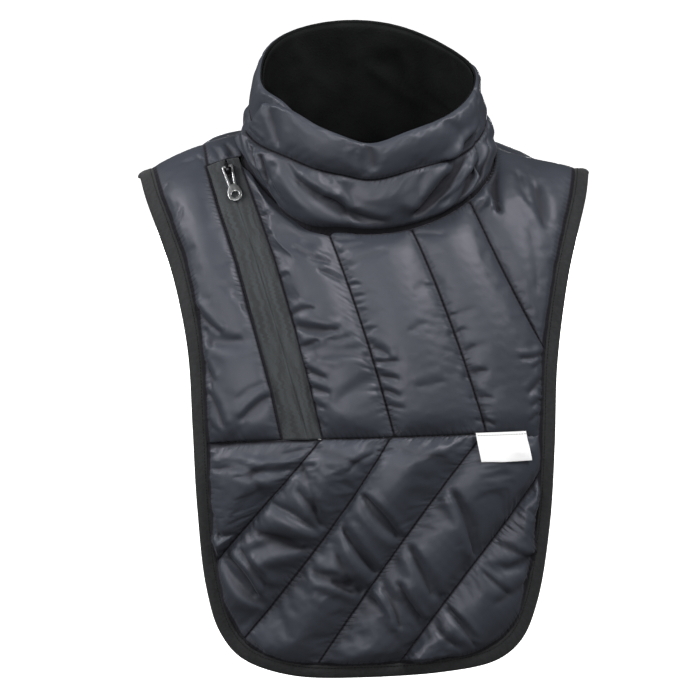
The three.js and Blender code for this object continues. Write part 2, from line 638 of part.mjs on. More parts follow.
// A point of the collar: angle round the neck, share of the way up, and height off the wall. The
// flap stands out by its lap, and is lower towards its end.
function onCollar(angle, up, height, lap = 0) {
  const flare = lap * LAP.flare * smooth(-angle, -LAP.flareNone, -LAP.flareFull);
  const base = collarBase(angle, lap * LAP.out - SEAM - GAP, Math.sqrt(lap) * LAP.lift);
  const rim = collarRim(angle, lap * LAP.outAtRim + flare);
  const outward = new THREE.Vector3(Math.sin(rad(angle)), -Math.cos(rad(angle)), 0);
  const rise = rim.clone().sub(base);
  outward.addScaledVector(rise, -outward.dot(rise) / rise.lengthSq()).normalize();
  const shorter = LAP.shorter * lap * smooth(-angle, -LAP.shorterNone, -LAP.shorterFull);
  return base.addScaledVector(rise, up * (1 - shorter)).addScaledVector(outward, height);
}

const lapAt = (angle) => smooth(-angle, -LAP.none, -LAP.full);

// How thick the collar is on the way up: a roll, a sewn line, and the top band. Its sides and
// the layer pressed flat under the flap hold less of the padding.
const rollShareAt = (angle) => lerp(
  COLLAR.rollShare, COLLAR.rollShareAtSides, smooth(turnBetween(angle, 0), 20, 65));

function collarThickness(up, rollShare, paddingShare) {
  const { rollPuff, bandPuff, topEdge } = COLLAR;
  const inRoll = up < rollShare;
  const s = inRoll ? up / rollShare : (up - rollShare) / (1 - rollShare);
  const low = inRoll || s < 0.5 ? SEAM : topEdge;
  return low + ((inRoll ? rollPuff : bandPuff) - low) * Math.sin(Math.PI * s) ** 0.7 * paddingShare;
}

// The seam between the collar's front and back, and the end of the flap, lean on the way up.
const seamAngle = (up) => lerp(COLLAR.seamLow, COLLAR.seamHigh, up);
const flapAngle = (up) => lerp(COLLAR.flapLow, COLLAR.flapHigh, up);

// A side of the collar, from one end at share 0 to the other at share 1.
function collarPiece(front, steps) {
  const rollSteps = 5, bandSteps = 4;
  const net = ringNet(0, 1, steps, range(rollSteps + bandSteps));
  // The first levels share the roll between them, and the others the band.
  const upAt = (level, rollShare) => {
    const k = Math.round(level * (rollSteps + bandSteps));
    return k <= rollSteps
      ? (rollShare * k) / rollSteps
      : lerp(rollShare, 1, (k - rollSteps) / bandSteps);
  };
  const angleAt = (p) => (front
    ? lerp(flapAngle(p.w), seamAngle(p.w), p.u)
    : lerp(seamAngle(p.w) + COLLAR.seamGap, COLLAR.backTo, p.u));
  const padding = (p, angle) => endPuff(p.u, 1.2 / steps)
    * (front ? 1 : 1 - LAP.pressed * lapAt(angle - 360));
  const at = (p, share) => {
    const angle = angleAt(p);
    const rollShare = rollShareAt(angle);
    const up = upAt(p.w, rollShare);
    const whole = collarThickness(up, rollShare, padding(p, angle));
    const crease = front ? creased(collarValleys, onUnrolledCollar(angle, up)) : 0;
    const height = share * Math.max(whole - crease, Math.min(whole, SEAM));
    return onCollar(angle, up, height, front ? lapAt(angle) : 0);
  };
  return wall(net, (p) => at(p, 1), (p) => at(p, 0));
}

function collarLining() {
  const levels = range(3).map((t) => lerp(LINING.below, LINING.above, t));
  const net = ringNet(-180, 180, 48, levels, true);
  return wall(net,
    (p) => onCollar(p.u, p.w, LINING.outside), (p) => onCollar(p.u, p.w, LINING.inside));
}

// The zip

// The tape on one side of the slit: -1 is the left one. The slider parts the two at their tops.
function tape(sign) {
  const downs = 20;
  const outer = zipSide(sign < 0 ? 'left' : 'right', 0, ZIP[0].v, downs);
  const inner = zipSide('slit', 0, ZIP[0].v, downs).map((p) => {
    const parted = 1 - smooth(p.v, SLIDER.v, TAPE.partedTo);
    return place(p.x + (sign / 2) * lerp(TAPE.slitGap, TAPE.partedGap, parted), p.v);
  });
  const [left, right] = sign < 0 ? [outer, inner] : [inner, outer];
  const net = quilt([{
    left, right, top: straight(left[0], right[0], 1), bottom: straight(left[downs], right[downs], 1),
  }]);
  return wall(net,
    (p) => aboveTrunk(p.x, p.v, TAPE.outside), (p) => aboveTrunk(p.x, p.v, TAPE.inside));
}

// The chain starts below the slider, which stands at the top of the closed zip.
function zipChain() {
  const line = zipSide('slit', 0, SLIDER.v + SLIDER.length / 2 + GAP, 16);
  const half = CHAIN.width / 2;
  return strip(line, [
    { across: -half, up: CHAIN.inside }, { across: half, up: CHAIN.inside },
    { across: half, up: CHAIN.outside }, { across: -half, up: CHAIN.outside },
  ]);
}

// A frame on the zip: x across the tapes, y up the zip, z off the cloth.
function zipFrame() {
  const xAt = zipAt('slit');
  const step = 6;
  const middle = aboveTrunk(xAt(SLIDER.v), SLIDER.v, TAPE.outside + GAP);
  const above = aboveTrunk(xAt(SLIDER.v - step), SLIDER.v - step, TAPE.outside + GAP);
  const below = aboveTrunk(xAt(SLIDER.v + step), SLIDER.v + step, TAPE.outside + GAP);
  const y = above.sub(below).normalize();
  const off = middle.clone().sub(aboveTrunk(xAt(SLIDER.v), SLIDER.v, 0));
  const x = y.clone().cross(off).normalize();
  const z = x.clone().cross(y);
  return new THREE.Matrix4().makeBasis(x, y, z).setPosition(middle);
}

// Joining and cutting closed meshes
function solid(geometry) {
  const flat = geometry.index ? geometry.toNonIndexed() : geometry;
  const position = flat.getAttribute('position');
  const known = new Map(), vertices = [], triangles = [];
  for (let i = 0; i < position.count; i++) {
    const p = [position.getX(i), position.getY(i), position.getZ(i)];
    const key = p.map((c) => c.toFixed(4)).join(' ');
    if (!known.has(key)) {
      known.set(key, vertices.length / 3);
      vertices.push(...p);
    }
    triangles.push(known.get(key));
  }
  return new wasm.Manifold(new wasm.Mesh({
    numProp: 3, vertProperties: new Float32Array(vertices), triVerts: new Uint32Array(triangles),
  }));
}

function fromSolid(made) {
  const mesh = made.getMesh();
  const geometry = new THREE.BufferGeometry();
  geometry.setAttribute('position', new THREE.Float32BufferAttribute(mesh.vertProperties, 3));
  geometry.setIndex([...mesh.triVerts]);
  return geometry;
}

const block = (x, y, z, at) => solid(new THREE.BoxGeometry(x, y, z).translate(...at));
function plate(shape, thick, z, curveSegments = 10) {
  return solid(new THREE.ExtrudeGeometry(shape, { depth: thick, bevelEnabled: false, curveSegments })
    .translate(0, 0, z));
}

function sliderPlate(widthShare) {
  const { length } = SLIDER;
  const topWidth = SLIDER.topWidth * widthShare, lowWidth = SLIDER.lowWidth * widthShare;
  const shape = new THREE.Shape();
  const top = length / 2, low = -length / 2;
  shape.moveTo(-lowWidth / 2, low);
  shape.lineTo(lowWidth / 2, low);
  shape.quadraticCurveTo(lowWidth / 2, 0, topWidth / 2, top - 2.5);
  shape.quadraticCurveTo(topWidth / 2, top, 0, top);
  shape.quadraticCurveTo(-topWidth / 2, top, -topWidth / 2, top - 2.5);
  shape.quadraticCurveTo(-lowWidth / 2, 0, -lowWidth / 2, low);
  return shape;
}

function zipSlider() {
  const { plate: thick, noseWidth, bridgeWidth, bridgeRise, bridgeBar, bridgeFrom, bridgeTo } = SLIDER;
  const { length, underShare } = SLIDER;
  const under = -(TAPE.outside + GAP) + CHAIN.inside - GAP - thick;
  // The nose joins the two plates, and stands between the parted tapes.
  const nose = block(noseWidth, 1.6, thick - 0.1 - under, [0, length / 2 - 1.2, (under + thick - 0.1) / 2]);
  const bridgeLength = bridgeFrom - bridgeTo;
  const middle = (bridgeFrom + bridgeTo) / 2;
  const bridge = block(bridgeWidth, bridgeLength, bridgeRise, [0, middle, thick + bridgeRise / 2 - 0.1]);
  const tunnel = block(bridgeWidth + 2, bridgeLength - 2 * bridgeBar, bridgeRise,
    [0, middle, thick + bridgeRise / 2 - 0.1 - bridgeBar]);
  const upper = plate(sliderPlate(1), thick, 0);
  const lowerPlate = plate(sliderPlate(underShare), thick, under);
  return fromSolid(upper.add(nose).add(lowerPlate).add(bridge.subtract(tunnel)));
}

// The pull lies down the zip from its pivot, a bar that passes under the slider's bridge.
function zipPull() {
  const { thick, topWidth, leg, slotLength, bar, eyeAt, eyeRadius, holeRadius, waist } = PULL;
  const half = topWidth / 2, top = bar / 2 + 0.4;
  const shape = new THREE.Shape();
  shape.moveTo(-half, top - 1);
  shape.lineTo(-waist / 2, -slotLength);
  shape.quadraticCurveTo(-eyeRadius, -slotLength - 2, -eyeRadius, -eyeAt);
  shape.absarc(0, -eyeAt, eyeRadius, Math.PI, 2 * Math.PI, false);
  shape.quadraticCurveTo(eyeRadius, -slotLength - 2, waist / 2, -slotLength);
  shape.lineTo(half, top - 1);
  shape.quadraticCurveTo(half, top, half - 1, top);
  shape.lineTo(-half + 1, top);
  shape.quadraticCurveTo(-half, top, -half, top - 1);
  const hole = new THREE.Path().absarc(0, -eyeAt, holeRadius, 0, 2 * Math.PI, true);
  const slot = new THREE.Path();
  const slotHalf = half - leg, slotLow = waist / 2 - leg;
  slot.moveTo(-slotHalf, -bar / 2 - 0.2);
  slot.lineTo(slotHalf, -bar / 2 - 0.2);
  slot.lineTo(slotLow, -slotLength + leg);
  slot.lineTo(-slotLow, -slotLength + leg);
  shape.holes.push(hole, slot);
  return fromSolid(plate(shape, thick, -thick / 2, 7));
}

// The tab rests on the padding: rays find how high the panels stand under and round a place.
function restingHeight(panels, x, v) {
  const high = 40, around = 3.5;
  return Math.max(...[[0, 0], [around, 0], [-around, 0], [0, around], [0, -around]].map(([dx, dv]) => {
    const from = aboveTrunk(x + dx, v + dv, high), foot = aboveTrunk(x + dx, v + dv, 0);
    const ray = new THREE.Raycaster(from, foot.clone().sub(from).normalize());
    const hit = ray.intersectObjects(panels, false)[0];
    return hit ? high - hit.distance : SEAM;
  }));
}

function tab(panels) {
  const { left, right, aboveSeam, height, slant, lift, thick } = TAB;
  const wide = 6, downs = 5;
  const top = seamLine(left, right, wide, aboveSeam);
  const low = top.map((p) => place(p.x + slant, p.v + height));
  const net = quilt([{
    left: straight(top[0], low[0], downs), right: straight(top[wide], low[wide], downs), top, bottom: low,
  }]);
  const inner = new Map(net.points.map((p) => [p, restingHeight(panels, p.x, p.v) + lift]));
  return wall(net,
    (p) => aboveTrunk(p.x, p.v, inner.get(p) + thick), (p) => aboveTrunk(p.x, p.v, inner.get(p)));
}

// Materials

const cloth = (color, roughness) => new THREE.MeshStandardMaterial({ color, roughness, metalness: 0 });
const shellCloth = cloth(0x3c3f4b, 0.45);
const bindingTape = cloth(0x3a3c3b, 0.85);
const zipTapeCloth = cloth(0x464b4a, 0.8);
const fleece = cloth(0x0e0f0f, 0.95);
const reflective = cloth(0xf2f3f2, 0.4);
const darkMetal = new THREE.MeshStandardMaterial({ color: 0x15161a, roughness: 0.4, metalness: 0.8 });
const brightMetal = new THREE.MeshStandardMaterial({ color: 0xd4d6d8, roughness: 0.25, metalness: 1 });
const chainPlastic = cloth(0x1b1c1e, 0.5);

const neckWarmer = new THREE.Group();
function piece(name, geometry, material) {
  const mesh = new THREE.Mesh(geometry, material);
  mesh.name = name;
  neckWarmer.add(mesh);
  return mesh;
}

piece('side_panel', sidePanel(), shellCloth);
const chest = piece('chest_panel', chestPanel(), shellCloth);
const lower = piece('lower_panel', lowerPanel(), shellCloth);
piece('back_panel', backPanel(), shellCloth);
piece('edge_binding_front', binding(frontEdge, 84, 1), bindingTape);
piece('edge_binding_back', binding(backEdge, 48, -1), bindingTape);
piece('collar_front', collarPiece(true, 28), shellCloth);
piece('collar_back', collarPiece(false, 36), shellCloth);
piece('collar_lining', collarLining(), fleece);
piece('zip_tape_left', tape(-1), zipTapeCloth);
piece('zip_tape_right', tape(1), zipTapeCloth);
piece('zip_chain', zipChain(), chainPlastic);
piece('reflective_tab', tab([chest, lower]), reflective);

const onZip = new THREE.Group();
onZip.applyMatrix4(zipFrame());
neckWarmer.add(onZip);
const slider = piece('zip_slider', zipSlider(), darkMetal);
const pull = piece('zip_pull', zipPull(), brightMetal);
pull.position.set(0, PULL.pivotAt, PULL.pivotRise);
pull.rotation.x = rad(PULL.restAngle);
onZip.add(slider, pull);

export default neckWarmer;
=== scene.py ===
# %% [markdown]
# # A quilted neck warmer
# The object is a padded bib with a stand collar, worn over the chest, the shoulders and the upper
# back. Its pieces already exist as plain solids in one fixed frame. This lesson makes the cloth,
# the tapes, the stitches and the metal that stand in their place, each where its solid is.
import math

import bmesh
import bpy
import numpy as np
from mathutils import Matrix, Vector
from mathutils.bvhtree import BVHTree
from mathutils.kdtree import KDTree


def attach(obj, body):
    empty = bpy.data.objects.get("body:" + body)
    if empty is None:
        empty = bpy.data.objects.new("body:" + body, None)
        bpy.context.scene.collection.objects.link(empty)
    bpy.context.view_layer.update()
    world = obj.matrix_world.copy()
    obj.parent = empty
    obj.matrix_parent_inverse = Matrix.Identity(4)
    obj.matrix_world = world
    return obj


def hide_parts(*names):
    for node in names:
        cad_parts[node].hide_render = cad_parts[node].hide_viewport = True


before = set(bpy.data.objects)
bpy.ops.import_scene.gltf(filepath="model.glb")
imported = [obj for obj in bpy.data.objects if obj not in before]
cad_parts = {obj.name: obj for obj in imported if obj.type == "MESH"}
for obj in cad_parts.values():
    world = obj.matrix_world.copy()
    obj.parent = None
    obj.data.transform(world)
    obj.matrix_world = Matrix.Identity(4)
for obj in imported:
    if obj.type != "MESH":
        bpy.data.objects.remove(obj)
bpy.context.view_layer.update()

MM = 0.001
print("pieces in the frame:", len(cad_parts))

# %% [markdown]
# ## The form under the cloth
# A worn garment takes the shape of the trunk in it, so every cloth piece is drawn flat and then
# laid on a form of a trunk. A place on the cloth has two numbers: x, sideways, and v, the way down
# the cloth from the top of the shoulder, below zero on the back. The form could be a sculpted
# mesh, but a formula for its outline at each x keeps the cloth's lengths true. All sizes are in
# millimetres, with +Z up and the wearer looking along -Y.

# %% The trunk's measures
CREST = {"y": 8, "top": 30, "fall": 0.00135}
CHEST = {"deepest": -137, "rounding": 0.0015, "power": 1.65, "low": -230, "drawn_in": 0.03, "end": -470}
BACK = {"deepest": 98, "rounding": -0.0011, "power": 2.6, "low": -150, "drawn_in": 0.0, "end": -360}
SHOULDER_BUNCHES = [(-190, 30, 3), (-126, 52, 7.5), (122, 44, -6), (192, 32, 7)]
CURVE_STEPS = 160


def crest_height(x):
    bunches = sum(rise * np.exp(-(((x - at) / spread) ** 2)) for at, spread, rise in SHOULDER_BUNCHES)
    return CREST["top"] - CREST["fall"] * x * x + bunches


def outline_at(x, side):
    """Half of the trunk's outline at x, from the crest down: the way to each point, y and z."""
    reach = side["deepest"] + side["rounding"] * x * x - CREST["y"]
    turn = np.linspace(0, math.pi / 2, CURVE_STEPS + 1)
    power = 2 / side["power"]
    rise = crest_height(x) - side["low"]
    below = np.linspace(side["low"], side["end"], 25)[1:]
    drawn_in = side["drawn_in"] * (side["low"] - below)
    y = np.append(reach * np.sin(turn) ** power, reach + drawn_in) + CREST["y"]
    z = np.append(side["low"] + rise * np.cos(turn).clip(0) ** power, below)
    way = np.append(0, np.cumsum(np.hypot(np.diff(y), np.diff(z))))
    return way, y, z


# %% A table of the form, to look places up fast
FORM_STEP = 2.0
FORM_X = np.arange(-210, 211, FORM_STEP)
FORM_V = np.arange(-330, 531, FORM_STEP)


def form_table():
    places = np.zeros((len(FORM_X), len(FORM_V), 3))
    for i, x in enumerate(FORM_X):
        for side, part in ((CHEST, FORM_V >= 0), (BACK, FORM_V < 0)):
            way, y, z = outline_at(x, side)
            places[i, part, 1] = np.interp(abs(FORM_V[part]), way, y)
            places[i, part, 2] = np.interp(abs(FORM_V[part]), way, z)
        places[i, :, 0] = x
    along_x, along_v = np.gradient(places, axis=(0, 1))
    normals = np.cross(along_v, along_x)
    return places, normals / np.maximum(np.linalg.norm(normals, axis=2, keepdims=True), 1e-9)


FORM, FORM_NORMALS = form_table()
print("form table:", FORM.shape)


def look_up(table, x, v):
    i = np.clip((x - FORM_X[0]) / FORM_STEP, 0, len(FORM_X) - 1.001)
    j = np.clip((v - FORM_V[0]) / FORM_STEP, 0, len(FORM_V) - 1.001)
    i0, j0 = i.astype(int), j.astype(int)
    s, t = (i - i0)[..., None], (j - j0)[..., None]
    low = table[i0, j0] * (1 - s) + table[i0 + 1, j0] * s
    high = table[i0, j0 + 1] * (1 - s) + table[i0 + 1, j0 + 1] * s
    return low * (1 - t) + high * t


def on_form(x, v, height=0.0):
    """Places above the form, in millimetres. All three arguments may be arrays."""
    x, v, height = np.broadcast_arrays(np.asarray(x, float), np.asarray(v, float), np.asarray(height, float))
    normals = look_up(FORM_NORMALS, x, v)
    normals /= np.linalg.norm(normals, axis=-1, keepdims=True)
    return look_up(FORM, x, v) + normals * height[..., None]


def on_bib(flat, height):
    """Places above the form from places (x, v) on the flat cloth."""
    return on_form(flat[:, 0], flat[:, 1], height)


def v_at_depth(x, y):
    """The way down the cloth at which the form at x reaches the depth y."""
    side = CHEST if y <= CREST["y"] else BACK
    way, depth, _ = outline_at(x, side)
    curved = slice(0, CURVE_STEPS + 1)
    if side is CHEST:
        return float(np.interp(-y, -depth[curved], way[curved]))
    return -float(np.interp(y, depth[curved], way[curved]))


def v_at_level(x, z):
    way, _, level = outline_at(x, CHEST)
    return float(np.interp(-z, -level, way))


# %% [markdown]
# ## Lines on the flat cloth
# A tailor draws edges and seams on the flat pattern. Here a line is an array of places (x, v).
# Each quilted channel is bounded by four such lines, and neighbours share a line, so the stitched
# seam between two channels is one row of points.

# %% Line helpers
def smoothstep(value, low, high):
    t = np.clip((np.asarray(value, float) - low) / (high - low), 0, 1)
    return t * t * (3 - 2 * t)


def straight(a, b, steps):
    return np.linspace(a, b, steps + 1)


def one_place(place, steps):
    """A line with no length, for a channel that runs to a point."""
    return np.repeat(place[None], steps + 1, axis=0)


def bowed(a, b, bow, steps):
    line = straight(a, b, steps)
    t = np.linspace(0, 1, steps + 1)
    line[:, 0] += bow * 4 * t * (1 - t)
    return line


def join(*lines):
    return np.vstack([lines[0]] + [line[1:] for line in lines[1:]])


def way_along(line):
    return np.append(0, np.cumsum(np.linalg.norm(np.diff(line, axis=0), axis=1)))


def read_line(line, way, at):
    """The line's places at the ways in at, where way holds the way to each of its points."""
    return np.column_stack([np.interp(at, way, column) for column in line.T])


def even(line, steps):
    way = way_along(line)
    return read_line(line, way, np.linspace(0, way[-1], steps + 1))


def stretch(line, start, end, steps):
    """The part of a line between two of its points' numbers."""
    return read_line(line, np.arange(len(line)), np.linspace(start, end, steps + 1))


def cut(line, start, end):
    """A part of a line, given in millimetres from its two ends."""
    way = way_along(line)
    return read_line(line, way, np.linspace(start, way[-1] - end, len(line)))


def smooth_line(points, steps):
    """A centripetal Catmull-Rom line through the points, in equal steps."""
    p = np.array(points, float)
    p = np.vstack([2 * p[0] - p[1], p, 2 * p[-1] - p[-2]])
    t = np.linspace(0, 1, 40, endpoint=False)[:, None]
    stretches = []
    for a, b, c, d in zip(p, p[1:], p[2:], p[3:]):
        k0, k1, k2 = (math.sqrt(np.linalg.norm(q - r)) for q, r in ((b, a), (c, b), (d, c)))
        out = ((b - a) / k0 - (c - a) / (k0 + k1) + (c - b) / k1) * k1
        into = ((c - b) / k1 - (d - b) / (k1 + k2) + (d - c) / k2) * k1
        bend, twist = 3 * (c - b) - 2 * out - into, 2 * (b - c) + out + into
        stretches.append(b + out * t + bend * t**2 + twist * t**3)
    return even(np.vstack(stretches + [p[-2:-1]]), steps)


def side_of(line):
    """The way across a line at each of its points, one long."""
    ahead = np.vstack([line[1:], line[-1:]]) - np.vstack([line[:1], line[:-1]])
    ahead /= np.linalg.norm(ahead, axis=1, keepdims=True)
    return np.column_stack([ahead[:, 1], -ahead[:, 0]])


def inset(line, distance):
    return line + distance * side_of(line)


def crossing(line, start, direction):
    """Where a ray first crosses a line: how many steps along the line, and the place."""
    a, e = line[:-1], np.diff(line, axis=0)
    det = direction[1] * e[:, 0] - direction[0] * e[:, 1]
    way = ((a[:, 1] - start[1]) * e[:, 0] - (a[:, 0] - start[0]) * e[:, 1]) / det
    share = (direction[0] * (a[:, 1] - start[1]) - direction[1] * (a[:, 0] - start[0])) / det
    hit = np.where((way > 0) & (share >= 0) & (share <= 1))[0]
    i = hit[np.argmin(way[hit])]
    return i + share[i], a[i] + e[i] * share[i]


# %% [markdown]
# ## The pattern
# The measures of the bib's outline, its seams and its zip. They are the same as those of the
# solids, so each cloth piece lies where its solid lies.

# %% Outline, neck hole and seams
FRONT_EDGE = [
    (-187, -12), (-179, 28), (-166, 72), (-154.5, 112), (-142, 178), (-138, 243), (-135, 308), (-129, 375),
    (-118, 419), (-99, 447), (-58, 467), (0, 472), (55, 463), (98, 441), (122, 413), (135, 375),
    (144, 308), (147, 240), (149, 176), (158, 108), (166.5, 68), (175.5, 28), (180.5, -12),
]
BACK_EDGE = [
    (-187, -12), (-176, -50), (-160, -104), (-150, -150), (-144, -190), (-126, -222), (-80, -238), (0, -243),
    (78, -238), (122, -222), (140, -190), (147, -150), (157, -104), (172, -50), (180.5, -12),
]
SHOULDER_SEAM_V = -12
NECK = {"half_width": 102, "half_depth": 72, "y": -4, "side_angle": 107}
BINDING_WIDTH = 11
TUCKED_UNDER_BINDING = 1.8
LEVEL_SEAM = {"drop": 190, "sag": 5, "tilt": -3.6, "at": 130}
CHEST_LINES = [(-18.5, 20.3, 2), (19.2, 92, 2)]
ARM_LINE = {"neck_angle": 51, "lean": 0.61, "bow": -3.5}
LOWER_LINES = [(-36.5, -0.98, 1.5), (17, -0.742, 7.5), (89, -0.632, 1.5), (157, -0.569, 3.5)]
BACK_LINES = [(-128, -86), (-158, -30), (158, 30), (128, 84)]
ZIP_V = [30, 75, 125, 185, 230, 272]
ZIP = {
    "left": [-128, -116.5, -101.7, -86.2, -74.2, -65.7],
    "slit": [-113.5, -103, -87.6, -70.2, -57.7, -46.3],
    "right": [-105, -91.4, -75, -58.2, -46.7, -36.9],
}
GARAGE = {"out": 5.35, "neck_angle": -78.2}

front_edge = smooth_line(FRONT_EDGE, 520)
back_edge = smooth_line(BACK_EDGE, 520)
front_cloth = inset(front_edge, BINDING_WIDTH - TUCKED_UNDER_BINDING)
back_cloth = inset(back_edge, TUCKED_UNDER_BINDING - BINDING_WIDTH)
print("front edge:", round(way_along(front_edge)[-1]), "mm round")


def neck_point(angle):
    x = NECK["half_width"] * math.sin(math.radians(angle))
    y = NECK["y"] - NECK["half_depth"] * math.cos(math.radians(angle))
    return np.array([x, v_at_depth(x, y)])


def neck_line(start, end, steps):
    return np.array([neck_point(angle) for angle in np.linspace(start, end, steps + 1)])


def seam_point(x, above=0.0):
    share = x / LEVEL_SEAM["at"]
    z = -LEVEL_SEAM["drop"] - LEVEL_SEAM["sag"] * share**2 - LEVEL_SEAM["tilt"] * share
    return np.array([x, v_at_level(x, z) - above])


def seam_line(start_x, end_x, steps, above=0.0):
    return np.array([seam_point(x, above) for x in np.linspace(start_x, end_x, steps + 1)])


def zip_x(column, v):
    """x of one of the zip's lines at v; the last stretch runs on below the last row."""
    rows = ZIP[column]
    slope = (rows[-1] - rows[-2]) / (ZIP_V[-1] - ZIP_V[-2])
    return np.interp(v, ZIP_V, rows) + slope * np.maximum(np.asarray(v, float) - ZIP_V[-1], 0)


def zip_side(column, start_v, steps):
    """Down one of the zip's lines, from its top to the level seam."""
    near_end = seam_point(float(zip_x(column, ZIP_V[-1])))
    end_v = seam_point(float(zip_x(column, near_end[1])))[1]
    v = np.linspace(start_v, end_v, steps + 1)
    return np.column_stack([zip_x(column, v), v])


LEFT_SEAM_END = crossing(front_cloth, seam_point(-100), (-1, -0.12))
RIGHT_SEAM_END = crossing(front_cloth, seam_point(100), (1, -0.18))


# %% [markdown]
# ## A quilted cloth from patches
# A quilted panel is a shell cloth stitched through its wadding along lines, so it swells between
# them. It could be one big grid with the lines painted in, but then the stitched valleys would
# cut across its faces. Here each channel is its own grid, bent to its four lines, and the grids
# are welded where they share a line. Every point also notes how far it is from its nearest seam
# and where along that seam it lies, because the puckers need both.

# %% Patches between four lines
SEAM_THICKNESS = 3.0
FULL_PUFF = 11.0
WIDE_CHANNEL = 55.0
END_LENGTH = 22.0
NOTES = ("flat_x", "flat_v", "padding", "near", "along", "phase", "corner")


def across_share(s, full):
    """How thick a channel is across its width: the fuller, the steeper it stands at its seams."""
    return np.sin(np.pi * s).clip(0) ** full


def end_share(t, share):
    return np.sin(0.5 * np.pi * np.minimum(1, np.minimum(t, 1 - t) / share))


def patch(left, right, top, bottom, puff=None, end=None, full=0.55):
    """One channel. left and right run from top to bottom, top and bottom from left to right.
    puff is its thickness in the middle; without one, a narrow channel is thinner than a wide one."""
    return dict(left=left, right=right, top=top, bottom=bottom, puff=puff, end=end, full=full)


def patch_places(part):
    left, right, top, bottom = (part[side] for side in ("left", "right", "top", "bottom"))
    t = np.linspace(0, 1, len(left))[:, None, None]
    s = np.linspace(0, 1, len(top))[None, :, None]
    sides = (1 - s) * left[:, None] + s * right[:, None] + (1 - t) * top[None] + t * bottom[None]
    corners = (1 - s) * (1 - t) * top[0] + s * (1 - t) * top[-1]
    corners = corners + (1 - s) * t * bottom[0] + s * t * bottom[-1]
    return sides - corners


def phase_of(line):
    """A number that belongs to a line, whichever channel it is read from."""
    middle = line[len(line) // 2]
    return float((0.37 * middle[0] + 0.73 * middle[1]) % (2 * math.pi))


def patch_notes(part):
    places = patch_places(part)
    down, wide = places.shape[:2]
    t = np.linspace(0, 1, down)[:, None] * np.ones(wide)
    s = np.linspace(0, 1, wide)[None, :] * np.ones((down, 1))
    width = np.linalg.norm(part["right"] - part["left"], axis=1)[:, None]
    middle = (part["bottom"][0] + part["bottom"][-1] - part["top"][0] - part["top"][-1]) / 2
    length = np.linalg.norm(middle)
    thick = part["puff"] or FULL_PUFF * np.minimum(1, width / WIDE_CHANNEL) ** 0.6
    end = part["end"] or min(0.35, END_LENGTH / length)
    padding = np.maximum(0, thick - SEAM_THICKNESS) * across_share(s, part["full"]) * end_share(t, end)
    ways = [s * width, (1 - s) * width, t * length, (1 - t) * length]
    lines = [part["left"], part["right"], part["top"], part["bottom"]]
    alongs = [way_along(line) for line in lines]
    alongs = [np.broadcast_to(a[:, None] if k < 2 else a[None, :], t.shape) for k, a in enumerate(alongs)]
    order = np.argsort(np.array(ways), axis=0)
    pick = lambda values, rank: np.take_along_axis(np.array(values), order[rank][None], axis=0)[0]
    phases = [np.full(t.shape, phase_of(line)) for line in lines]
    nearest = pick(ways, 0), pick(alongs, 0), pick(phases, 0), pick(ways, 1)
    columns = (places[..., 0], places[..., 1], padding, *nearest)
    return np.stack([column.ravel() for column in columns], axis=1)


def in_scene(name, data):
    made = bpy.data.objects.new(name, data)
    bpy.context.scene.collection.objects.link(made)
    return made


def as_mesh(name, made):
    mesh = bpy.data.meshes.new(name)
    made.to_mesh(mesh)
    made.free()
    return mesh


def add_grid(made, places):
    """A grid of faces whose points are at the places, given row by row in metres."""
    rows, columns = places.shape[:2]
    grid = bmesh.ops.create_grid(made, x_segments=columns - 1, y_segments=rows - 1, size=1)["verts"]
    for vert, at in zip(grid, places.reshape(-1, 3)):
        vert.co = at
    return grid


def lay_flat(name, channels):
    """The channels' grids, welded, as a mesh whose points note their place and their seams."""
    flat = bmesh.new()
    layers = [flat.verts.layers.float.new(note) for note in NOTES]
    for part in channels:
        values, first = patch_notes(part), len(flat.faces)
        grid = bmesh.ops.create_grid(
            flat, x_segments=len(part["top"]) - 1, y_segments=len(part["left"]) - 1, size=1)["verts"]
        for vert, row in zip(grid, values):
            vert.co = (row[0], row[1], 0)
            for layer, value in zip(layers, row):
                vert[layer] = value
        flat.normal_update()
        faces = list(flat.faces)[first:]
        if sum(face.normal.z for face in faces) < 0:
            bmesh.ops.reverse_faces(flat, faces=faces)
    bmesh.ops.remove_doubles(flat, verts=flat.verts, dist=0.03)
    bmesh.ops.dissolve_degenerate(flat, dist=0.01, edges=flat.edges)
    return in_scene(name, as_mesh(name, flat))


# %% Reading and writing a mesh's points
def numbers_of(rows, key, kind=np.float32, width=1):
    """One property of all the rows of a mesh, as an array."""
    values = np.zeros(len(rows) * width, kind)
    rows.foreach_get(key, values)
    return values


def note(mesh, name):
    return numbers_of(mesh.attributes[name].data, "value").astype(float)


def points_of(mesh):
    return numbers_of(mesh.vertices, "co", width=3).reshape(-1, 3).astype(float)


def set_points(mesh, points):
    mesh.vertices.foreach_set("co", np.asarray(points, np.float32).ravel())
    mesh.update()


def normals_of(mesh):
    return numbers_of(mesh.vertex_normals, "vector", width=3).reshape(-1, 3).astype(float)


def edge_points(mesh):
    """Which points lie on the cloth's open edge."""
    uses = np.zeros(len(mesh.edges), int)
    np.add.at(uses, numbers_of(mesh.loops, "edge_index", int), 1)
    ends = numbers_of(mesh.edges, "vertices", int, 2)
    on_edge = np.zeros(len(mesh.vertices), bool)
    on_edge[ends.reshape(-1, 2)[uses == 1].ravel()] = True
    return on_edge


def apply_modifiers(piece):
    ready = piece.evaluated_get(bpy.context.evaluated_depsgraph_get())
    mesh = bpy.data.meshes.new_from_object(ready)
    piece.modifiers.clear()
    old = piece.data
    mesh.name = old.name
    piece.data = mesh
    bpy.data.meshes.remove(old)


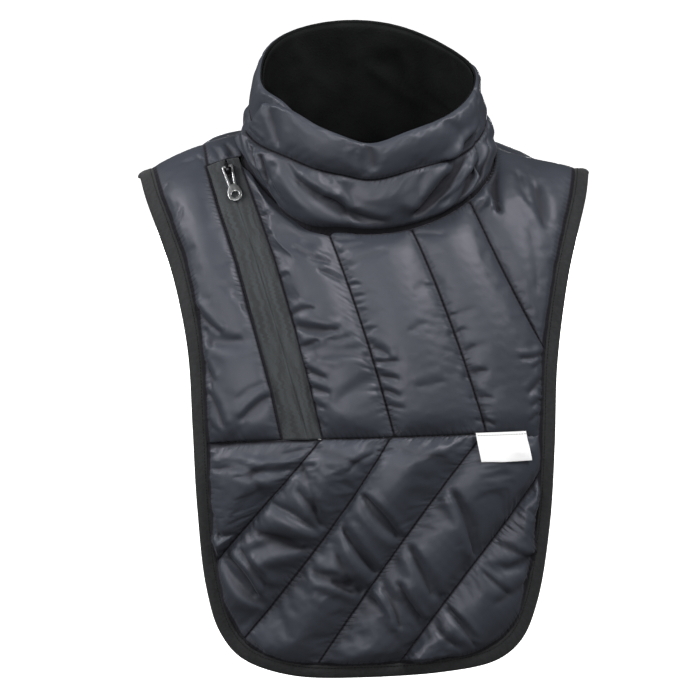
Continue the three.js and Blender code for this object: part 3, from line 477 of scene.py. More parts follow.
# %% [markdown]
# ## Swelling the cloth
# The wadding pushes the shell out, and the stitches gather it, so it has a little more cloth than
# room. A cloth simulation finds the folds that this makes: the points on the seams are held, a
# light pressure stands for the wadding, and a shrink below zero makes the cloth longer than its
# place. The folds could be painted as bump, but then the outline and the shadows would stay flat.
# How far a point may go is capped, so a piece stays in its own space.

# %% The cloth simulation
SWELL_FRAMES = 16
PRESSURE = 3.0


def swell(piece, slack, bending, furthest_out=4.0, furthest_in=2.0):
    """Simulates the shell between its seams, in millimetres of room, and applies the result."""
    mesh = piece.data
    start, out = points_of(mesh), normals_of(mesh)
    held = (note(mesh, "near") < 0.5) | edge_points(mesh)
    group = piece.vertex_groups.new(name="sewn")
    group.add([int(i) for i in np.where(held)[0]], 1.0, "REPLACE")
    cloth = piece.modifiers.new("cloth", "CLOTH")
    cloth.settings.vertex_group_mass = "sewn"
    cloth.settings.quality = 5
    cloth.settings.mass = 0.3
    cloth.settings.bending_stiffness = bending
    cloth.settings.shrink_min = -slack
    cloth.settings.use_pressure = True
    cloth.settings.uniform_pressure_force = PRESSURE
    cloth.settings.effector_weights.gravity = 0
    cloth.collision_settings.use_collision = False
    cloth.point_cache.frame_end = SWELL_FRAMES + 1
    for step in range(1, SWELL_FRAMES + 1):
        bpy.context.scene.frame_set(step)
    ready = piece.evaluated_get(bpy.context.evaluated_depsgraph_get())
    moved = points_of(ready.data) - start
    piece.modifiers.remove(cloth)
    piece.vertex_groups.remove(group)
    bpy.context.scene.frame_set(1)
    away = (moved * out).sum(1, keepdims=True)
    sideways = moved - away * out
    length = np.linalg.norm(sideways, axis=1, keepdims=True) + 1e-9
    sideways *= np.minimum(1, furthest_out * MM / length)
    away = np.clip(away, -furthest_in * MM, furthest_out * MM)
    set_points(mesh, start + sideways + away * out)
    print(piece.name, "swelled by", round(float(away.max()) / MM, 1), "mm")


# %% [markdown]
# ## Puckers, folds and creases
# Thread draws the cloth together, so short ridges stand across each seam, longer ones where the
# seam was eased. They are a sum of waves along the seam that dies out away from it, round on top
# and sharp between. The deep folds of a worn piece are set one by one: each is a valley from one
# place to another with a ridge beside it, because cloth that sinks in one place rises next to it.
# The wide ones are set before the simulation, which softens them, and the sharp ones after it.

# %% Puckers along the seams
def soft_noise(flat, size, seed):
    """Smooth lumps of about a size, between -1 and 1: a few waves in directions drawn by seed."""
    draw = np.random.default_rng(seed)
    total = np.zeros(len(flat))
    for _ in range(7):
        turn, wave, shift = draw.uniform(0, 2 * math.pi), size * draw.uniform(0.7, 1.6), draw.uniform(0, 6.3)
        along = flat[:, 0] * math.cos(turn) + flat[:, 1] * math.sin(turn)
        total += np.sin(2 * math.pi * along / wave + shift)
    return total / 3.5


def puckers(notes, height, reach, waves, strength=1.0):
    near, along, phase, corner = (notes[key] for key in ("near", "along", "phase", "corner"))
    lean = near * 0.45 * np.sin(along / 29 + phase)
    ridges = np.zeros_like(near)
    for k, wave in enumerate(waves):
        arch = abs(np.sin(np.pi * (along + lean) / wave + (k + 1) * phase))
        ridges += (1 - 2 * (1 - arch) ** 2) / len(waves)
    gathered = smoothstep(np.sin(along / 13 + 2 * phase) + np.sin(along / 37 + phase), -1.1, 1.3)
    fades = (1 - np.exp(-near / 1.1)) * np.exp(-((near / reach) ** 1.4)) * smoothstep(corner, 1, 9)
    return height * strength * (0.25 + 0.75 * gathered) * (ridges - 0.2) * fades


def folds(flat, rows, sharp=2.0, beside=0.62):
    """Valleys from (x, v) to (to_x, to_v), each with a ridge beside it on the given side."""
    total = np.zeros(len(flat))
    for x, v, to_x, to_v, width, depth, ridge_side in rows:
        run = np.array([to_x - x, to_v - v], float)
        length = np.linalg.norm(run)
        run /= length
        rel = flat - np.array([x, v])
        s = rel @ run
        wander = 0.07 * length * np.sin(np.pi * s.clip(0, length) / length) * np.sin(x + v)
        side = rel @ np.array([run[1], -run[0]]) - wander
        beyond = np.maximum(0, np.maximum(-s, s - length))
        thin = 0.45 + 0.55 * np.sin(np.pi * (s / length).clip(0.08, 0.92))
        valley = np.exp(-(abs(side / (width * thin)) ** sharp))
        ridge = np.exp(-(((side - ridge_side * 1.5 * width) / (1.1 * width)) ** 2))
        ends = np.exp(-((beyond / (0.9 * width)) ** 2))
        total += depth * (beside * ridge * abs(ridge_side) - valley) * ends
    return total


def creases(notes, rows):
    """Sharp folds with their ridge on the upper left: x, v, to x, to v, width, depth."""
    depths = folds(notes["flat"], [(*row, 1) for row in rows], 1.5, 0.45)
    return np.maximum(depths * smoothstep(notes["near"], 0, 3), -0.75 * (notes["padding"] + 1))


def spots(flat, rows, rest=0.35):
    """How strongly a place is gathered: rest everywhere, and more round each (x, v, spread, more)."""
    total = np.full(len(flat), rest)
    for x, v, spread, more in rows:
        total += more * np.exp(-(((flat[:, 0] - x) ** 2 + (flat[:, 1] - v) ** 2) / spread**2))
    return total


# %% Raising, swelling and closing a cloth
STITCHED_HEIGHT = 2.0
EDGE_HEIGHT = 1.5


def read_notes(mesh):
    notes = {key: note(mesh, key) for key in NOTES}
    notes["flat"] = np.column_stack([notes["flat_x"], notes["flat_v"]])
    return notes


def face_outwards(piece, place):
    mesh, notes = piece.data, read_notes(piece.data)
    out = place(notes["flat"], 1.0) - place(notes["flat"], 0.0)
    if (normals_of(mesh) * out).sum() < 0:
        mesh.flip_normals()


def raise_cloth(piece, place, relief, pressed):
    """Lays the flat cloth on its place, swollen by its padding and its relief."""
    mesh = piece.data
    notes = read_notes(mesh)
    shaped = notes["padding"] + relief(notes) * smoothstep(notes["near"], 0, 7)
    shaped *= pressed(notes["flat"])
    rise = (SEAM_THICKNESS - STITCHED_HEIGHT) * (1 - np.exp(-notes["near"] / 2.5))
    height = STITCHED_HEIGHT + rise + np.maximum(shaped, 0.1 * notes["padding"] * pressed(notes["flat"]))
    height[edge_points(mesh)] = EDGE_HEIGHT
    set_points(mesh, place(notes["flat"], height) * MM)
    face_outwards(piece, place)


def add_pattern_map(mesh, flat):
    """A UV map in metres from the points' flat places, so a weave keeps its size and its way."""
    corners = numbers_of(mesh.loops, "vertex_index", int)
    layer = mesh.uv_layers.new(name="pattern")
    layer.data.foreach_set("uv", (flat[corners] * MM).astype(np.float32).ravel())


def close_cloth(piece, place, inner_height=0.0):
    """Adds the inner side and welds it to the outer one round the open edge."""
    outer = piece.data
    notes = read_notes(outer)
    on_edge = edge_points(outer)
    inner = outer.copy()
    places = place(notes["flat"], np.full(len(on_edge), inner_height)) * MM
    places[on_edge] = points_of(outer)[on_edge]
    set_points(inner, places)
    inner.flip_normals()
    both = bmesh.new()
    both.from_mesh(outer)
    faces_outside = len(both.faces)
    both.from_mesh(inner)
    both.faces.ensure_lookup_table()
    for face in both.faces[faces_outside:]:
        face.material_index = 1
    rim = [vert for vert in both.verts if vert.is_boundary]
    bmesh.ops.remove_doubles(both, verts=rim, dist=1e-7)
    for face in both.faces:
        face.smooth = True
    both.to_mesh(outer)
    both.free()
    bpy.data.meshes.remove(inner)


def add_note(mesh, name, values):
    mesh.attributes.new(name, "FLOAT", "POINT").data.foreach_set("value", values.astype(np.float32))


def make_cloth(name, channels, place, relief, fine, rows, slack, bending, pressed, from_ditch):
    """A padded piece: laid flat, raised, swollen, refined, puckered, creased and closed.
    It notes how far each point is from a seam or edge line that gets painted shade, and how deep it lies in
    the sharp creases and pucker dips, because little light gets there: the shell's colour is darkened there
    as painted shade."""
    piece = lay_flat(name, channels)
    raise_cloth(piece, place, relief, pressed)
    swell(piece, slack, bending)
    finer = piece.modifiers.new("finer", "SUBSURF")
    finer.levels = finer.render_levels = 1
    finer.boundary_smooth = "PRESERVE_CORNERS"
    apply_modifiers(piece)
    mesh = piece.data
    notes = read_notes(mesh)
    small, sharp = fine(notes), creases(notes, rows)
    set_points(mesh, points_of(mesh) + normals_of(mesh) * (small + sharp)[:, None] * MM)
    add_pattern_map(mesh, notes["flat"])
    # Painted shade: these two notes make the shell's colour darker along the lines and in the creases and
    # pucker dips.
    add_note(mesh, "ditch", np.maximum(0, from_ditch(notes)))
    add_note(mesh, "crease_shade", np.maximum(np.clip(-sharp / 2.8, 0, 1), np.clip(-small / 1.8, 0, 0.7)) ** 2)
    close_cloth(piece, place)
    print(name, "has", len(piece.data.polygons), "faces")
    return piece

# %% [markdown]
# ## The four padded panels
# The bib has a side panel outside the zip, a chest panel with slanting lines, a lower panel with
# diagonals and a back panel. Each is one cloth of several channels. The deep folds and the most
# gathered places are read off the worn piece and set here by their places on the flat cloth.

# %% Folds of the bib, set before the simulation: x, v, to x, to v, width, depth, side of the ridge
CHEST_FOLDS = [
    (-53, 204, -7, 205, 5.5, 1.8, -1), (-56, 182, -33, 191, 4, 1.2, -1), (-18, 240, 13, 228, 6, 1.0, 1),
    (127, 24, 136, 62, 7, 1.4, 1), (-40, 118, -24, 128, 5, 0.8, -1), (8, 92, 26, 84, 5, 0.8, 1),
]
SIDE_FOLDS = [
    (-124, 172, -96, 191, 6, 1.6, -1), (-97, 246, -75, 231, 5, 1.4, 1), (-104, 262, -86, 246, 5, 1.0, 1),
]
LOWER_FOLDS = [
    (-100, 281, -59, 294, 6, 2.2, -1), (-89, 354, -53, 352, 7.5, 3, -1), (-110, 361, -84, 398, 5, 2.4, -1),
    (-78, 318, -44, 340, 4.5, 2.0, -1), (-14, 347, 3, 377, 5, 2.4, -1), (-2, 322, 22, 351, 5, 2.4, -1),
    (-38, 379, -3, 397, 5, 2.0, -1), (12, 392, 31, 424, 5, 2.2, -1), (34, 362, 61, 406, 6, 2.6, -1),
    (67, 312, 83, 347, 5, 2.0, -1), (63, 409, 82, 420, 5, 2.0, -1), (108, 354, 132, 336, 5, 1.8, 1),
    (-124, 330, -104, 338, 4, 1.6, -1), (26, 404, 44, 430, 4, 1.6, -1),
]

# %% Sharp creases of the bib, set after it: x, v, to x, to v, width, depth
SIDE_CREASES = [
    (-135, 147, -115, 175, 2.8, 2.2), (-126, 195, -119, 211, 2.5, 1.5), (-124, 219, -111, 248, 3, 2),
    (-95, 247, -74, 234, 3, 1.6), (-102, 151, -91, 158, 2, 1.2), (-96, 161, -89, 167, 2, 1.2),
    (-120, 181, -100, 186, 5, 1.5), (-120, 184, -126, 170, 2.5, 1.4), (-120, 217, -124, 203, 2.2, 1.4),
    (-123, 241, -117, 251, 2, 1.2), (-98, 231, -84, 225, 3.5, 1), (-113, 140, -93, 154, 3, 0.8),
    (-149, 72, -145, 66, 2.5, 1), (-130, 16, -122, 37, 3, 1.4), (-124, 12, -117, 33, 2.4, 1.2),
    (-106, 42, -113, 14, 3, 2.2), (-145, 18, -136, 19, 3, 1), (-136, 17, -128, 28, 2.4, 1.2),
]
CHEST_CREASES = [
    (-59, 173, -43, 172, 2.6, 1.8), (-53, 184, -25, 190, 3.6, 2.6), (-50, 199, -40, 197, 2.4, 1.5),
    (-39, 210, -2, 211, 4, 1.6), (-29, 197, -16, 196, 3.5, 1.2), (-48, 217, -35, 225, 2.6, 1.8),
    (-45, 231, -32, 237, 2.8, 2), (-44, 243, -35, 248, 2.4, 1.5), (-42, 257, -35, 262, 2.2, 1.3),
    (-55, 122, -44, 130, 2.8, 1.4), (-43, 133, -32, 136, 2.4, 1.6), (-36, 143, -21, 150, 2.6, 1.8),
    (-26, 117, -13, 118, 2.2, 1.5), (-21, 129, -6, 124, 2.4, 1), (-12, 140, 10, 131, 3.5, 1),
    (-81, 91, -76, 91, 2, 1.5), (-79, 107, -75, 107, 1.8, 1), (-69, 142, -63, 142, 2, 1.2),
    (-15, 155, -8, 155, 1.8, 0.9), (-13, 166, -5, 164, 1.8, 0.9), (-10, 177, -3, 175, 1.8, 0.9),
    (-2, 193, 4, 189, 2, 1), (0, 201, 13, 209, 4, 1.8), (4, 215, 19, 214, 3, 1.8),
    (7, 224, 19, 227, 3, 1.8), (10, 235, 21, 240, 3, 1.5), (15, 248, 24, 249, 3, 1.2),
    (46, 152, 53, 150, 1.8, 1), (60, 174, 66, 170, 2, 1), (64, 186, 72, 180, 3, 1.2),
    (72, 197, 79, 191, 3, 1.2), (76, 215, 88, 206, 3.4, 1.8), (81, 229, 92, 225, 3.5, 1.4),
    (84, 245, 95, 244, 2.6, 1.4), (33, 189, 42, 183, 3.5, 0.8), (39, 231, 54, 225, 4, 0.9),
    (117, 184, 136, 173, 2.4, 1.8), (123, 207, 133, 194, 2.6, 1.6), (126, 216, 133, 210, 2.4, 1.4),
    (125, 228, 133, 220, 2.2, 1.2), (127, 187, 134, 180, 2, 1.2), (100, 72, 100, 22, 3.4, 6),
    (124, 54, 119, 34, 6, 2.2), (137, 67, 133, 40, 6.5, 2.6), (85, 77, 96, 53, 3, 2.4),
    (130, 121, 126, 82, 6, 1), (36, 111, 55, 110, 2.5, 1.2),
]
LOWER_CREASES = [
    (-116, 281, -81, 292, 5, 1.8), (-87, 295, -77, 314, 4, 1.4), (-113, 336, -119, 318, 2.6, 1.6),
    (-52, 311, -36, 339, 4.5, 2.2), (-82, 340, -49, 358, 6.5, 3), (-109, 355, -87, 390, 3.4, 2.4),
    (-96, 354, -78, 384, 3.2, 2.2), (0, 321, 23, 350, 4, 2.4), (-17, 347, 6, 381, 4, 2.8),
    (-40, 379, -16, 389, 5, 2), (-25, 387, -13, 397, 3.5, 1.6), (82, 351, 67, 311, 5, 2.4),
    (34, 362, 49, 393, 4.2, 2.4), (23, 422, 12, 396, 3.4, 2.6), (24, 390, 39, 415, 3.6, 2.6),
    (65, 407, 81, 426, 3.6, 2.2), (56, 426, 67, 432, 4, 2), (91, 367, 106, 374, 4, 1.6),
    (102, 338, 124, 338, 4, 1.6), (99, 385, 122, 363, 5, 1.4), (-14, 298, 3, 286, 2.5, 1.2),
    (9, 284, 19, 282, 2, 1.2), (-55, 295, -43, 292, 2.4, 1.4), (-98, 291, -81, 290, 3, 1),
    (-92, 429, -83, 439, 3, 1.2), (-39, 326, -52, 294, 5, 1.6), (-23, 367, 3, 406, 6, 2.4),
    (-98, 273, -52, 279, 5, 1.2), (-39, 280, -13, 291, 6, 1.6), (27, 280, 54, 282, 6, 1.4),
]

# %% Gathered places of the bib: x, v, spread, how much more
GATHERED = [
    (-50, 205, 42, 1.0), (-42, 250, 34, 0.8), (4, 190, 40, 0.6), (14, 235, 30, 0.5), (86, 215, 34, 0.4),
    (-128, 200, 34, 0.8), (-126, 262, 34, 0.9), (136, 225, 34, 0.8), (138, 330, 46, 1.0),
    (-126, 300, 30, 0.6), (30, 455, 40, 0.5), (-60, 452, 36, 0.3), (60, 262, 46, 0.4),
]
GATHERED_BORDER = [(138, 330, 60, 1.0), (128, 215, 44, 0.5), (-128, 225, 60, 0.7)]


def bib_relief(rows, seed, lumpy, gathered):
    def relief(notes):
        flat = notes["flat"]
        lumps = lumpy * soft_noise(flat, 46, seed) * (notes["padding"] / 6)
        gathers = puckers(notes, gathered, 13, (9.5, 14.0), spots(flat, GATHERED, 0.1))
        return lumps + gathers + folds(flat, rows)
    return relief


def bib_detail(seed):
    def detail(notes):
        flat = notes["flat"]
        gathers = puckers(notes, 0.95, 6.5, (5.4, 7.7), spots(flat, GATHERED, 0.28))
        border = puckers(from_border(notes), 1.0, 5.0, (4.4, 6.1), spots(flat, GATHERED_BORDER, 0.3))
        lumps = 0.06 * soft_noise(flat, 9, seed) * (notes["padding"] / 6)
        return gathers + border + lumps
    return detail


# %% What shows of the bib's edges: the binding's border and the zip's sides
# The last two numbers set how far the painted shade along the binding's border and the zip's sides reaches.
UNDER_BINDING, DITCH_AT_BINDING, DITCH_AT_ZIP = 2.3, 3.8, 1.1
BORDER_STEPS, BORDER_STEP_LENGTH = 2080, 0.5


def tree_of(lines):
    """A tree of several lines' points, numbered one after another."""
    places = np.vstack(lines)
    tree = KDTree(len(places))
    for i, at in enumerate(places):
        tree.insert((*at, 0), i)
    tree.balance()
    return tree


border_tree = tree_of([even(line, BORDER_STEPS) for line in (front_cloth, back_cloth)])
zip_tree = tree_of([zip_side(side, ZIP_V[0], 200) for side in ("left", "right")])


def nearest_in(tree, flat):
    """For each flat place, the number of the tree's nearest point and the way to it."""
    return np.array([tree.find((*at, 0))[1:] for at in flat]).T


def beside_binding(flat):
    """The binding presses the padding flat where the cloth goes under it, and so do the shoulders."""
    shoulder = np.where(flat[:, 0] < 0, 0.2, 0.45)
    on_shoulder = shoulder + (1 - shoulder) * smoothstep(abs(flat[:, 1]), 10, 55)
    return (0.1 + 0.9 * smoothstep(nearest_in(border_tree, flat)[1], 2.4, 8.0)) * on_shoulder


def from_border(notes):
    """The notes with the binding's border taken for the nearest seam."""
    number, way = nearest_in(border_tree, notes["flat"])
    near, along = np.maximum(0, way - UNDER_BINDING), number * BORDER_STEP_LENGTH
    return {**notes, "near": near, "along": along, "phase": 0.0 * way, "corner": 0.0 * way + 99}


def from_bib_ditch(notes):
    """The way to the nearest line that gets painted shade: a seam, the binding's border or a side of the zip,
    where shadow falls in the stitched valleys and between parts.
    """
    from_binding = nearest_in(border_tree, notes["flat"])[1] - DITCH_AT_BINDING
    from_zip = nearest_in(zip_tree, notes["flat"])[1] - DITCH_AT_ZIP
    return np.minimum.reduce([notes["near"], from_binding, from_zip])


def bib_cloth(name, channels, seed, rows=(), cuts=(), lumps=(0.12, 0.7), slack=0.005, bending=2.0):
    """One of the bib's panels, with its folds, its sharp creases and how much cloth it has to spare."""
    return make_cloth(
        name, channels, on_bib, bib_relief(rows, seed, *lumps), bib_detail(seed + 1), cuts, slack, bending,
        beside_binding, from_bib_ditch)


# %% Side panel
SIDE_DOWN, SIDE_WIDE, GARAGE_DOWN, GARAGE_WIDE = 88, 22, 14, 12


def at_shoulder(line):
    line = line.copy()
    line[0, 1] = SHOULDER_SEAM_V
    return line


garage_top = np.array([zip_x("left", ZIP_V[0]) - GARAGE["out"], SHOULDER_SEAM_V])
tape_top = np.array([zip_x("left", ZIP_V[0]), ZIP_V[0]])
garage_side = straight(garage_top, tape_top, GARAGE_DOWN)
side_right = join(garage_side, zip_side("left", ZIP_V[0], SIDE_DOWN - GARAGE_DOWN))
side_left = at_shoulder(stretch(front_cloth, 0, LEFT_SEAM_END[0], SIDE_DOWN))
side_left[-1] = seam_point(LEFT_SEAM_END[1][0])
side_channel = patch(
    side_left, side_right, straight(side_left[0], garage_top, SIDE_WIDE),
    seam_line(side_left[-1][0], side_right[-1][0], SIDE_WIDE))
garage_neck = at_shoulder(neck_line(-NECK["side_angle"], GARAGE["neck_angle"], GARAGE_DOWN))
garage_channel = patch(
    garage_side, garage_neck, straight(garage_top, garage_neck[0], GARAGE_WIDE),
    straight(tape_top, garage_neck[-1], GARAGE_WIDE), puff=6)
side_panel = bib_cloth("side_panel_cloth", [side_channel, garage_channel], 3, SIDE_FOLDS, SIDE_CREASES)

# %% Chest panel
CHEST_WIDE, TO_ARM, TO_SEAM, ROUND_NECK = 22, 50, 28, 26
CHEST_CORNER_V, CHEST_CORNER_ANGLE = 36, -66
chest_down = TO_ARM + TO_SEAM
chest_line_1, chest_line_2 = (
    bowed(neck_point(angle), seam_point(seam_x), bow, chest_down) for angle, seam_x, bow in CHEST_LINES)
arm_start = neck_point(ARM_LINE["neck_angle"])
arm_at, arm_end = crossing(front_cloth, arm_start, (ARM_LINE["lean"], 1))
arm_line = bowed(arm_start, arm_end, ARM_LINE["bow"], TO_ARM)
arm_to_seam = stretch(front_cloth, arm_at, RIGHT_SEAM_END[0], TO_SEAM)
arm_to_seam[-1] = seam_point(RIGHT_SEAM_END[1][0])
beside_zip = zip_side("right", CHEST_CORNER_V, chest_down)
corner_to_neck = straight(beside_zip[0], neck_point(CHEST_CORNER_ANGLE), 5)
near_zip = patch(
    beside_zip, chest_line_1,
    join(corner_to_neck, neck_line(CHEST_CORNER_ANGLE, CHEST_LINES[0][0], CHEST_WIDE - 5)),
    seam_line(beside_zip[-1][0], chest_line_1[-1][0], CHEST_WIDE), full=0.8)
middle = patch(
    chest_line_1, chest_line_2, neck_line(CHEST_LINES[0][0], CHEST_LINES[1][0], CHEST_WIDE),
    seam_line(chest_line_1[-1][0], chest_line_2[-1][0], CHEST_WIDE))
near_arm = patch(
    chest_line_2, join(arm_line, arm_to_seam),
    neck_line(CHEST_LINES[1][0], ARM_LINE["neck_angle"], CHEST_WIDE),
    seam_line(chest_line_2[-1][0], arm_to_seam[-1][0], CHEST_WIDE))
neck_to_arm = at_shoulder(neck_line(NECK["side_angle"], ARM_LINE["neck_angle"], ROUND_NECK))
arm_edge = at_shoulder(stretch(front_cloth, len(front_cloth) - 1, arm_at, ROUND_NECK + TO_ARM))
shoulder = patch(
    join(neck_to_arm, arm_line), arm_edge, straight(neck_to_arm[0], arm_edge[0], CHEST_WIDE),
    one_place(arm_end, CHEST_WIDE))
chest_panel = bib_cloth(
    "chest_panel_cloth", [near_zip, middle, near_arm, shoulder], 11, CHEST_FOLDS, CHEST_CREASES)

# %% Lower panel
LOWER_DOWN, LOWER_WIDE = 84, 20
LOWER_SHAPE = {"puff": 13, "full": 0.9}
LOWER_CREASES_DEEPER = 1.15


def lower_diagonal(seam_x, lean, bow):
    """A diagonal seam: its line, and where it starts and ends along the cloth's edge."""
    start = seam_point(seam_x)
    end_at, end = crossing(front_cloth, start + 55 * np.array([lean, 1]), (lean, 1))
    start_at = None
    if seam_x > RIGHT_SEAM_END[1][0]:
        start_at, start = crossing(front_cloth, end + 0.3 * (start - end), (-lean, -1))
    return bowed(start, end, bow, LOWER_DOWN), start_at, end_at


diagonals = [lower_diagonal(*row) for row in LOWER_LINES]


def lower_hem(k):
    return stretch(front_cloth, diagonals[k][2], diagonals[k + 1][2], LOWER_WIDE)


left_edge = stretch(front_cloth, LEFT_SEAM_END[0], diagonals[0][2], LOWER_DOWN)
left_edge[0] = seam_point(LEFT_SEAM_END[1][0])
lower_left = patch(
    left_edge, diagonals[0][0], seam_line(left_edge[0][0], LOWER_LINES[0][0], LOWER_WIDE),
    one_place(diagonals[0][0][-1], LOWER_WIDE), **LOWER_SHAPE)
lower_middle = [
    patch(
        diagonals[k][0], diagonals[k + 1][0], seam_line(LOWER_LINES[k][0], LOWER_LINES[k + 1][0], LOWER_WIDE),
        lower_hem(k), **LOWER_SHAPE)
    for k in (0, 1)]
right_edge = stretch(front_cloth, RIGHT_SEAM_END[0], diagonals[3][1], 6)
right_edge[0] = seam_point(RIGHT_SEAM_END[1][0])
seam_to_edge = join(seam_line(LOWER_LINES[2][0], right_edge[0][0], LOWER_WIDE - 6), right_edge)
lower_right = patch(diagonals[2][0], diagonals[3][0], seam_to_edge, lower_hem(2), **LOWER_SHAPE)
lower_corner = patch(
    diagonals[3][0], stretch(front_cloth, diagonals[3][1], diagonals[3][2], LOWER_DOWN),
    one_place(diagonals[3][0][0], LOWER_WIDE), one_place(diagonals[3][0][-1], LOWER_WIDE), **LOWER_SHAPE)
lower_panel = bib_cloth(
    "lower_panel_cloth", [lower_left, *lower_middle, lower_right, lower_corner], 23, LOWER_FOLDS,
    [(*row[:5], row[5] * LOWER_CREASES_DEEPER) for row in LOWER_CREASES], (0.4, 1.0), 0.022, 0.8)

# %% Back panel
BACK_DOWN, BACK_WIDE, BACK_ROUND_NECK = 66, 22, 9
back_lines = []
for angle, hem_x in BACK_LINES:
    start = neck_point(angle)
    end_at, end = crossing(back_cloth, start, (hem_x - start[0], -300 - start[1]))
    back_lines.append((straight(start, end, BACK_DOWN), end_at))


def back_side(sign):
    line, line_end = back_lines[0 if sign < 0 else 3]
    neck_angle = BACK_LINES[0 if sign < 0 else 3][0]
    corner_at, _ = crossing(back_cloth, (0, -150), (sign, -0.5))
    arm_side = at_shoulder(stretch(back_cloth, 0 if sign < 0 else len(back_cloth) - 1, corner_at, BACK_DOWN))
    neck_side = at_shoulder(neck_line(sign * NECK["side_angle"], neck_angle, BACK_ROUND_NECK))
    top = join(straight(arm_side[0], neck_side[0], BACK_WIDE - BACK_ROUND_NECK), neck_side)
    return patch(arm_side, line, top, stretch(back_cloth, corner_at, line_end, BACK_WIDE))


def back_middle(k):
    start, end = BACK_LINES[k][0], BACK_LINES[k + 1][0]
    end = end if end < start else end - 360
    return patch(
        back_lines[k][0], back_lines[k + 1][0], neck_line(start, end, BACK_WIDE),
        stretch(back_cloth, back_lines[k][1], back_lines[k + 1][1], BACK_WIDE))


back_panel = bib_cloth(
    "back_panel_cloth", [back_side(-1), back_side(1), *(back_middle(k) for k in range(3))], 31,
    slack=0.025, bending=1.0)

# %% [markdown]
# ## The collar
# The collar is a padded tube with a stitched line round it: a thick roll below and a thinner band
# above. Its wall runs from the neck hole up to a tilted rim, so a place on it is an angle round
# the neck and a share of the way up. On the zip's side its front laps over the layer that comes
# round from the back, so the front is a piece of its own that stands out there.

# %% The collar's measures
RIM = {"half_width": 84.5, "half_depth": 72, "y": -16, "z": 77, "tilt": 30, "back_shift": -11}
RIM_WAVES = [(0, 16, -8), (-46, 24, 10), (125, 28, -2.5)]
COLLAR_GAP = 0.35
ROLL_SHARE, ROLL_SHARE_AT_SIDES = 0.58, 0.48
FRONT_PUFFS, BACK_PUFFS = (9.5, 6.5), (6.5, 5.0)
FLAP_LOW, FLAP_HIGH, BACK_END = -85, -61, 338
SIDE_SEAM_LOW, SIDE_SEAM_HIGH = 54, 76
LAP = {
    "none": -6, "full": -28, "out": 4.9, "out_at_rim": 5.2, "lift": 6.4, "shorter": 0.11,
    "shorter_none": -35, "shorter_full": -78, "flare": 3.5, "flare_none": -48, "flare_full": -78,
}
TURN_LENGTH, COLLAR_HEIGHT = 1.5, 84.0
TUCKED, FLAP_LIFT = 0.18, 0.14
BEHIND_FLAP = 0.11


def wrapped(angle):
    return (np.asarray(angle, float) + 180) % 360 - 180


def lap_at(angle):
    return smoothstep(-wrapped(angle), -LAP["none"], -LAP["full"])


def collar_base(angle, out, lift):
    turn = math.radians(angle)
    x = (NECK["half_width"] + out) * math.sin(turn)
    y = NECK["y"] - (NECK["half_depth"] + out) * math.cos(turn)
    return on_form(x, v_at_depth(x, y), lift)


BASE_ANGLES = np.arange(-180, 181, 1.0)
INSIDE = -SEAM_THICKNESS - COLLAR_GAP
PLAIN_BASE = np.array([collar_base(a, INSIDE, 0) for a in BASE_ANGLES])
LAP_BASE = np.array([
    collar_base(a, lap_at(a) * LAP["out"] + INSIDE, math.sqrt(lap_at(a)) * LAP["lift"]) for a in BASE_ANGLES])


def on_collar(flat, height, lapping):
    """A place of the collar, from its unrolled place: its angle and its share of the way up."""
    angle, up = wrapped(flat[:, 0] / TURN_LENGTH), flat[:, 1] / COLLAR_HEIGHT
    lap = lap_at(angle) if lapping else np.zeros_like(angle)
    table = LAP_BASE if lapping else PLAIN_BASE
    base = read_line(table, BASE_ANGLES, angle)
    flare = LAP["flare"] * smoothstep(-angle, -LAP["flare_none"], -LAP["flare_full"])
    out = lap * (LAP["out_at_rim"] + flare)
    sine, cosine = np.sin(np.radians(angle)), np.cos(np.radians(angle))
    forward = (RIM["half_depth"] + out) * cosine
    tilt = math.radians(RIM["tilt"])
    wave = sum(rise * np.exp(-((wrapped(angle - at) / spread) ** 2)) for at, spread, rise in RIM_WAVES)
    rim = np.column_stack([
        (RIM["half_width"] + out) * sine + RIM["back_shift"] * smoothstep(-cosine, 0, 1),
        RIM["y"] - forward * math.cos(tilt), RIM["z"] - forward * math.sin(tilt) + wave])
    rise = rim - base
    outward = np.column_stack([sine, -cosine, np.zeros_like(sine)])
    outward -= rise * ((outward * rise).sum(1) / (rise**2).sum(1))[:, None]
    outward /= np.linalg.norm(outward, axis=1, keepdims=True)
    shorter = LAP["shorter"] * lap * smoothstep(-angle, -LAP["shorter_none"], -LAP["shorter_full"])
    if not lapping:
        shorter = BEHIND_FLAP * np.exp(-(((angle + 30) / 17) ** 2))
    height = np.broadcast_to(np.asarray(height, float), angle.shape)
    return base + rise * (up * (1 - shorter))[:, None] + outward * height[:, None]


def on_flap(flat, height):
    return on_collar(flat, height, True)


def on_under_layer(flat, height):
    return on_collar(flat, height, False)


# %% The collar's channels
def unrolled(angle, up):
    around, upward = np.asarray(angle, float) * TURN_LENGTH, np.asarray(up) * COLLAR_HEIGHT
    return np.column_stack(np.broadcast_arrays(around, upward))


def roll_share(angle):
    share = smoothstep(abs(wrapped(angle)), 20, 65)
    return ROLL_SHARE + (ROLL_SHARE_AT_SIDES - ROLL_SHARE) * share


def on_band_seam(low, high):
    """Where an end of the collar that leans from low to high meets the stitched line."""
    angle = (low + high) / 2
    for _ in range(6):
        angle = low + (high - low) * float(roll_share(angle))
    return angle, float(roll_share(angle))


def low_edge(angle):
    return FLAP_LIFT * smoothstep(-angle, 32, 60)


def tucked_edge(angle):
    """The seam allowance goes down under the bib's neck edge, but not at the flap's end."""
    return low_edge(angle) - TUCKED * smoothstep(angle, -46, -28)


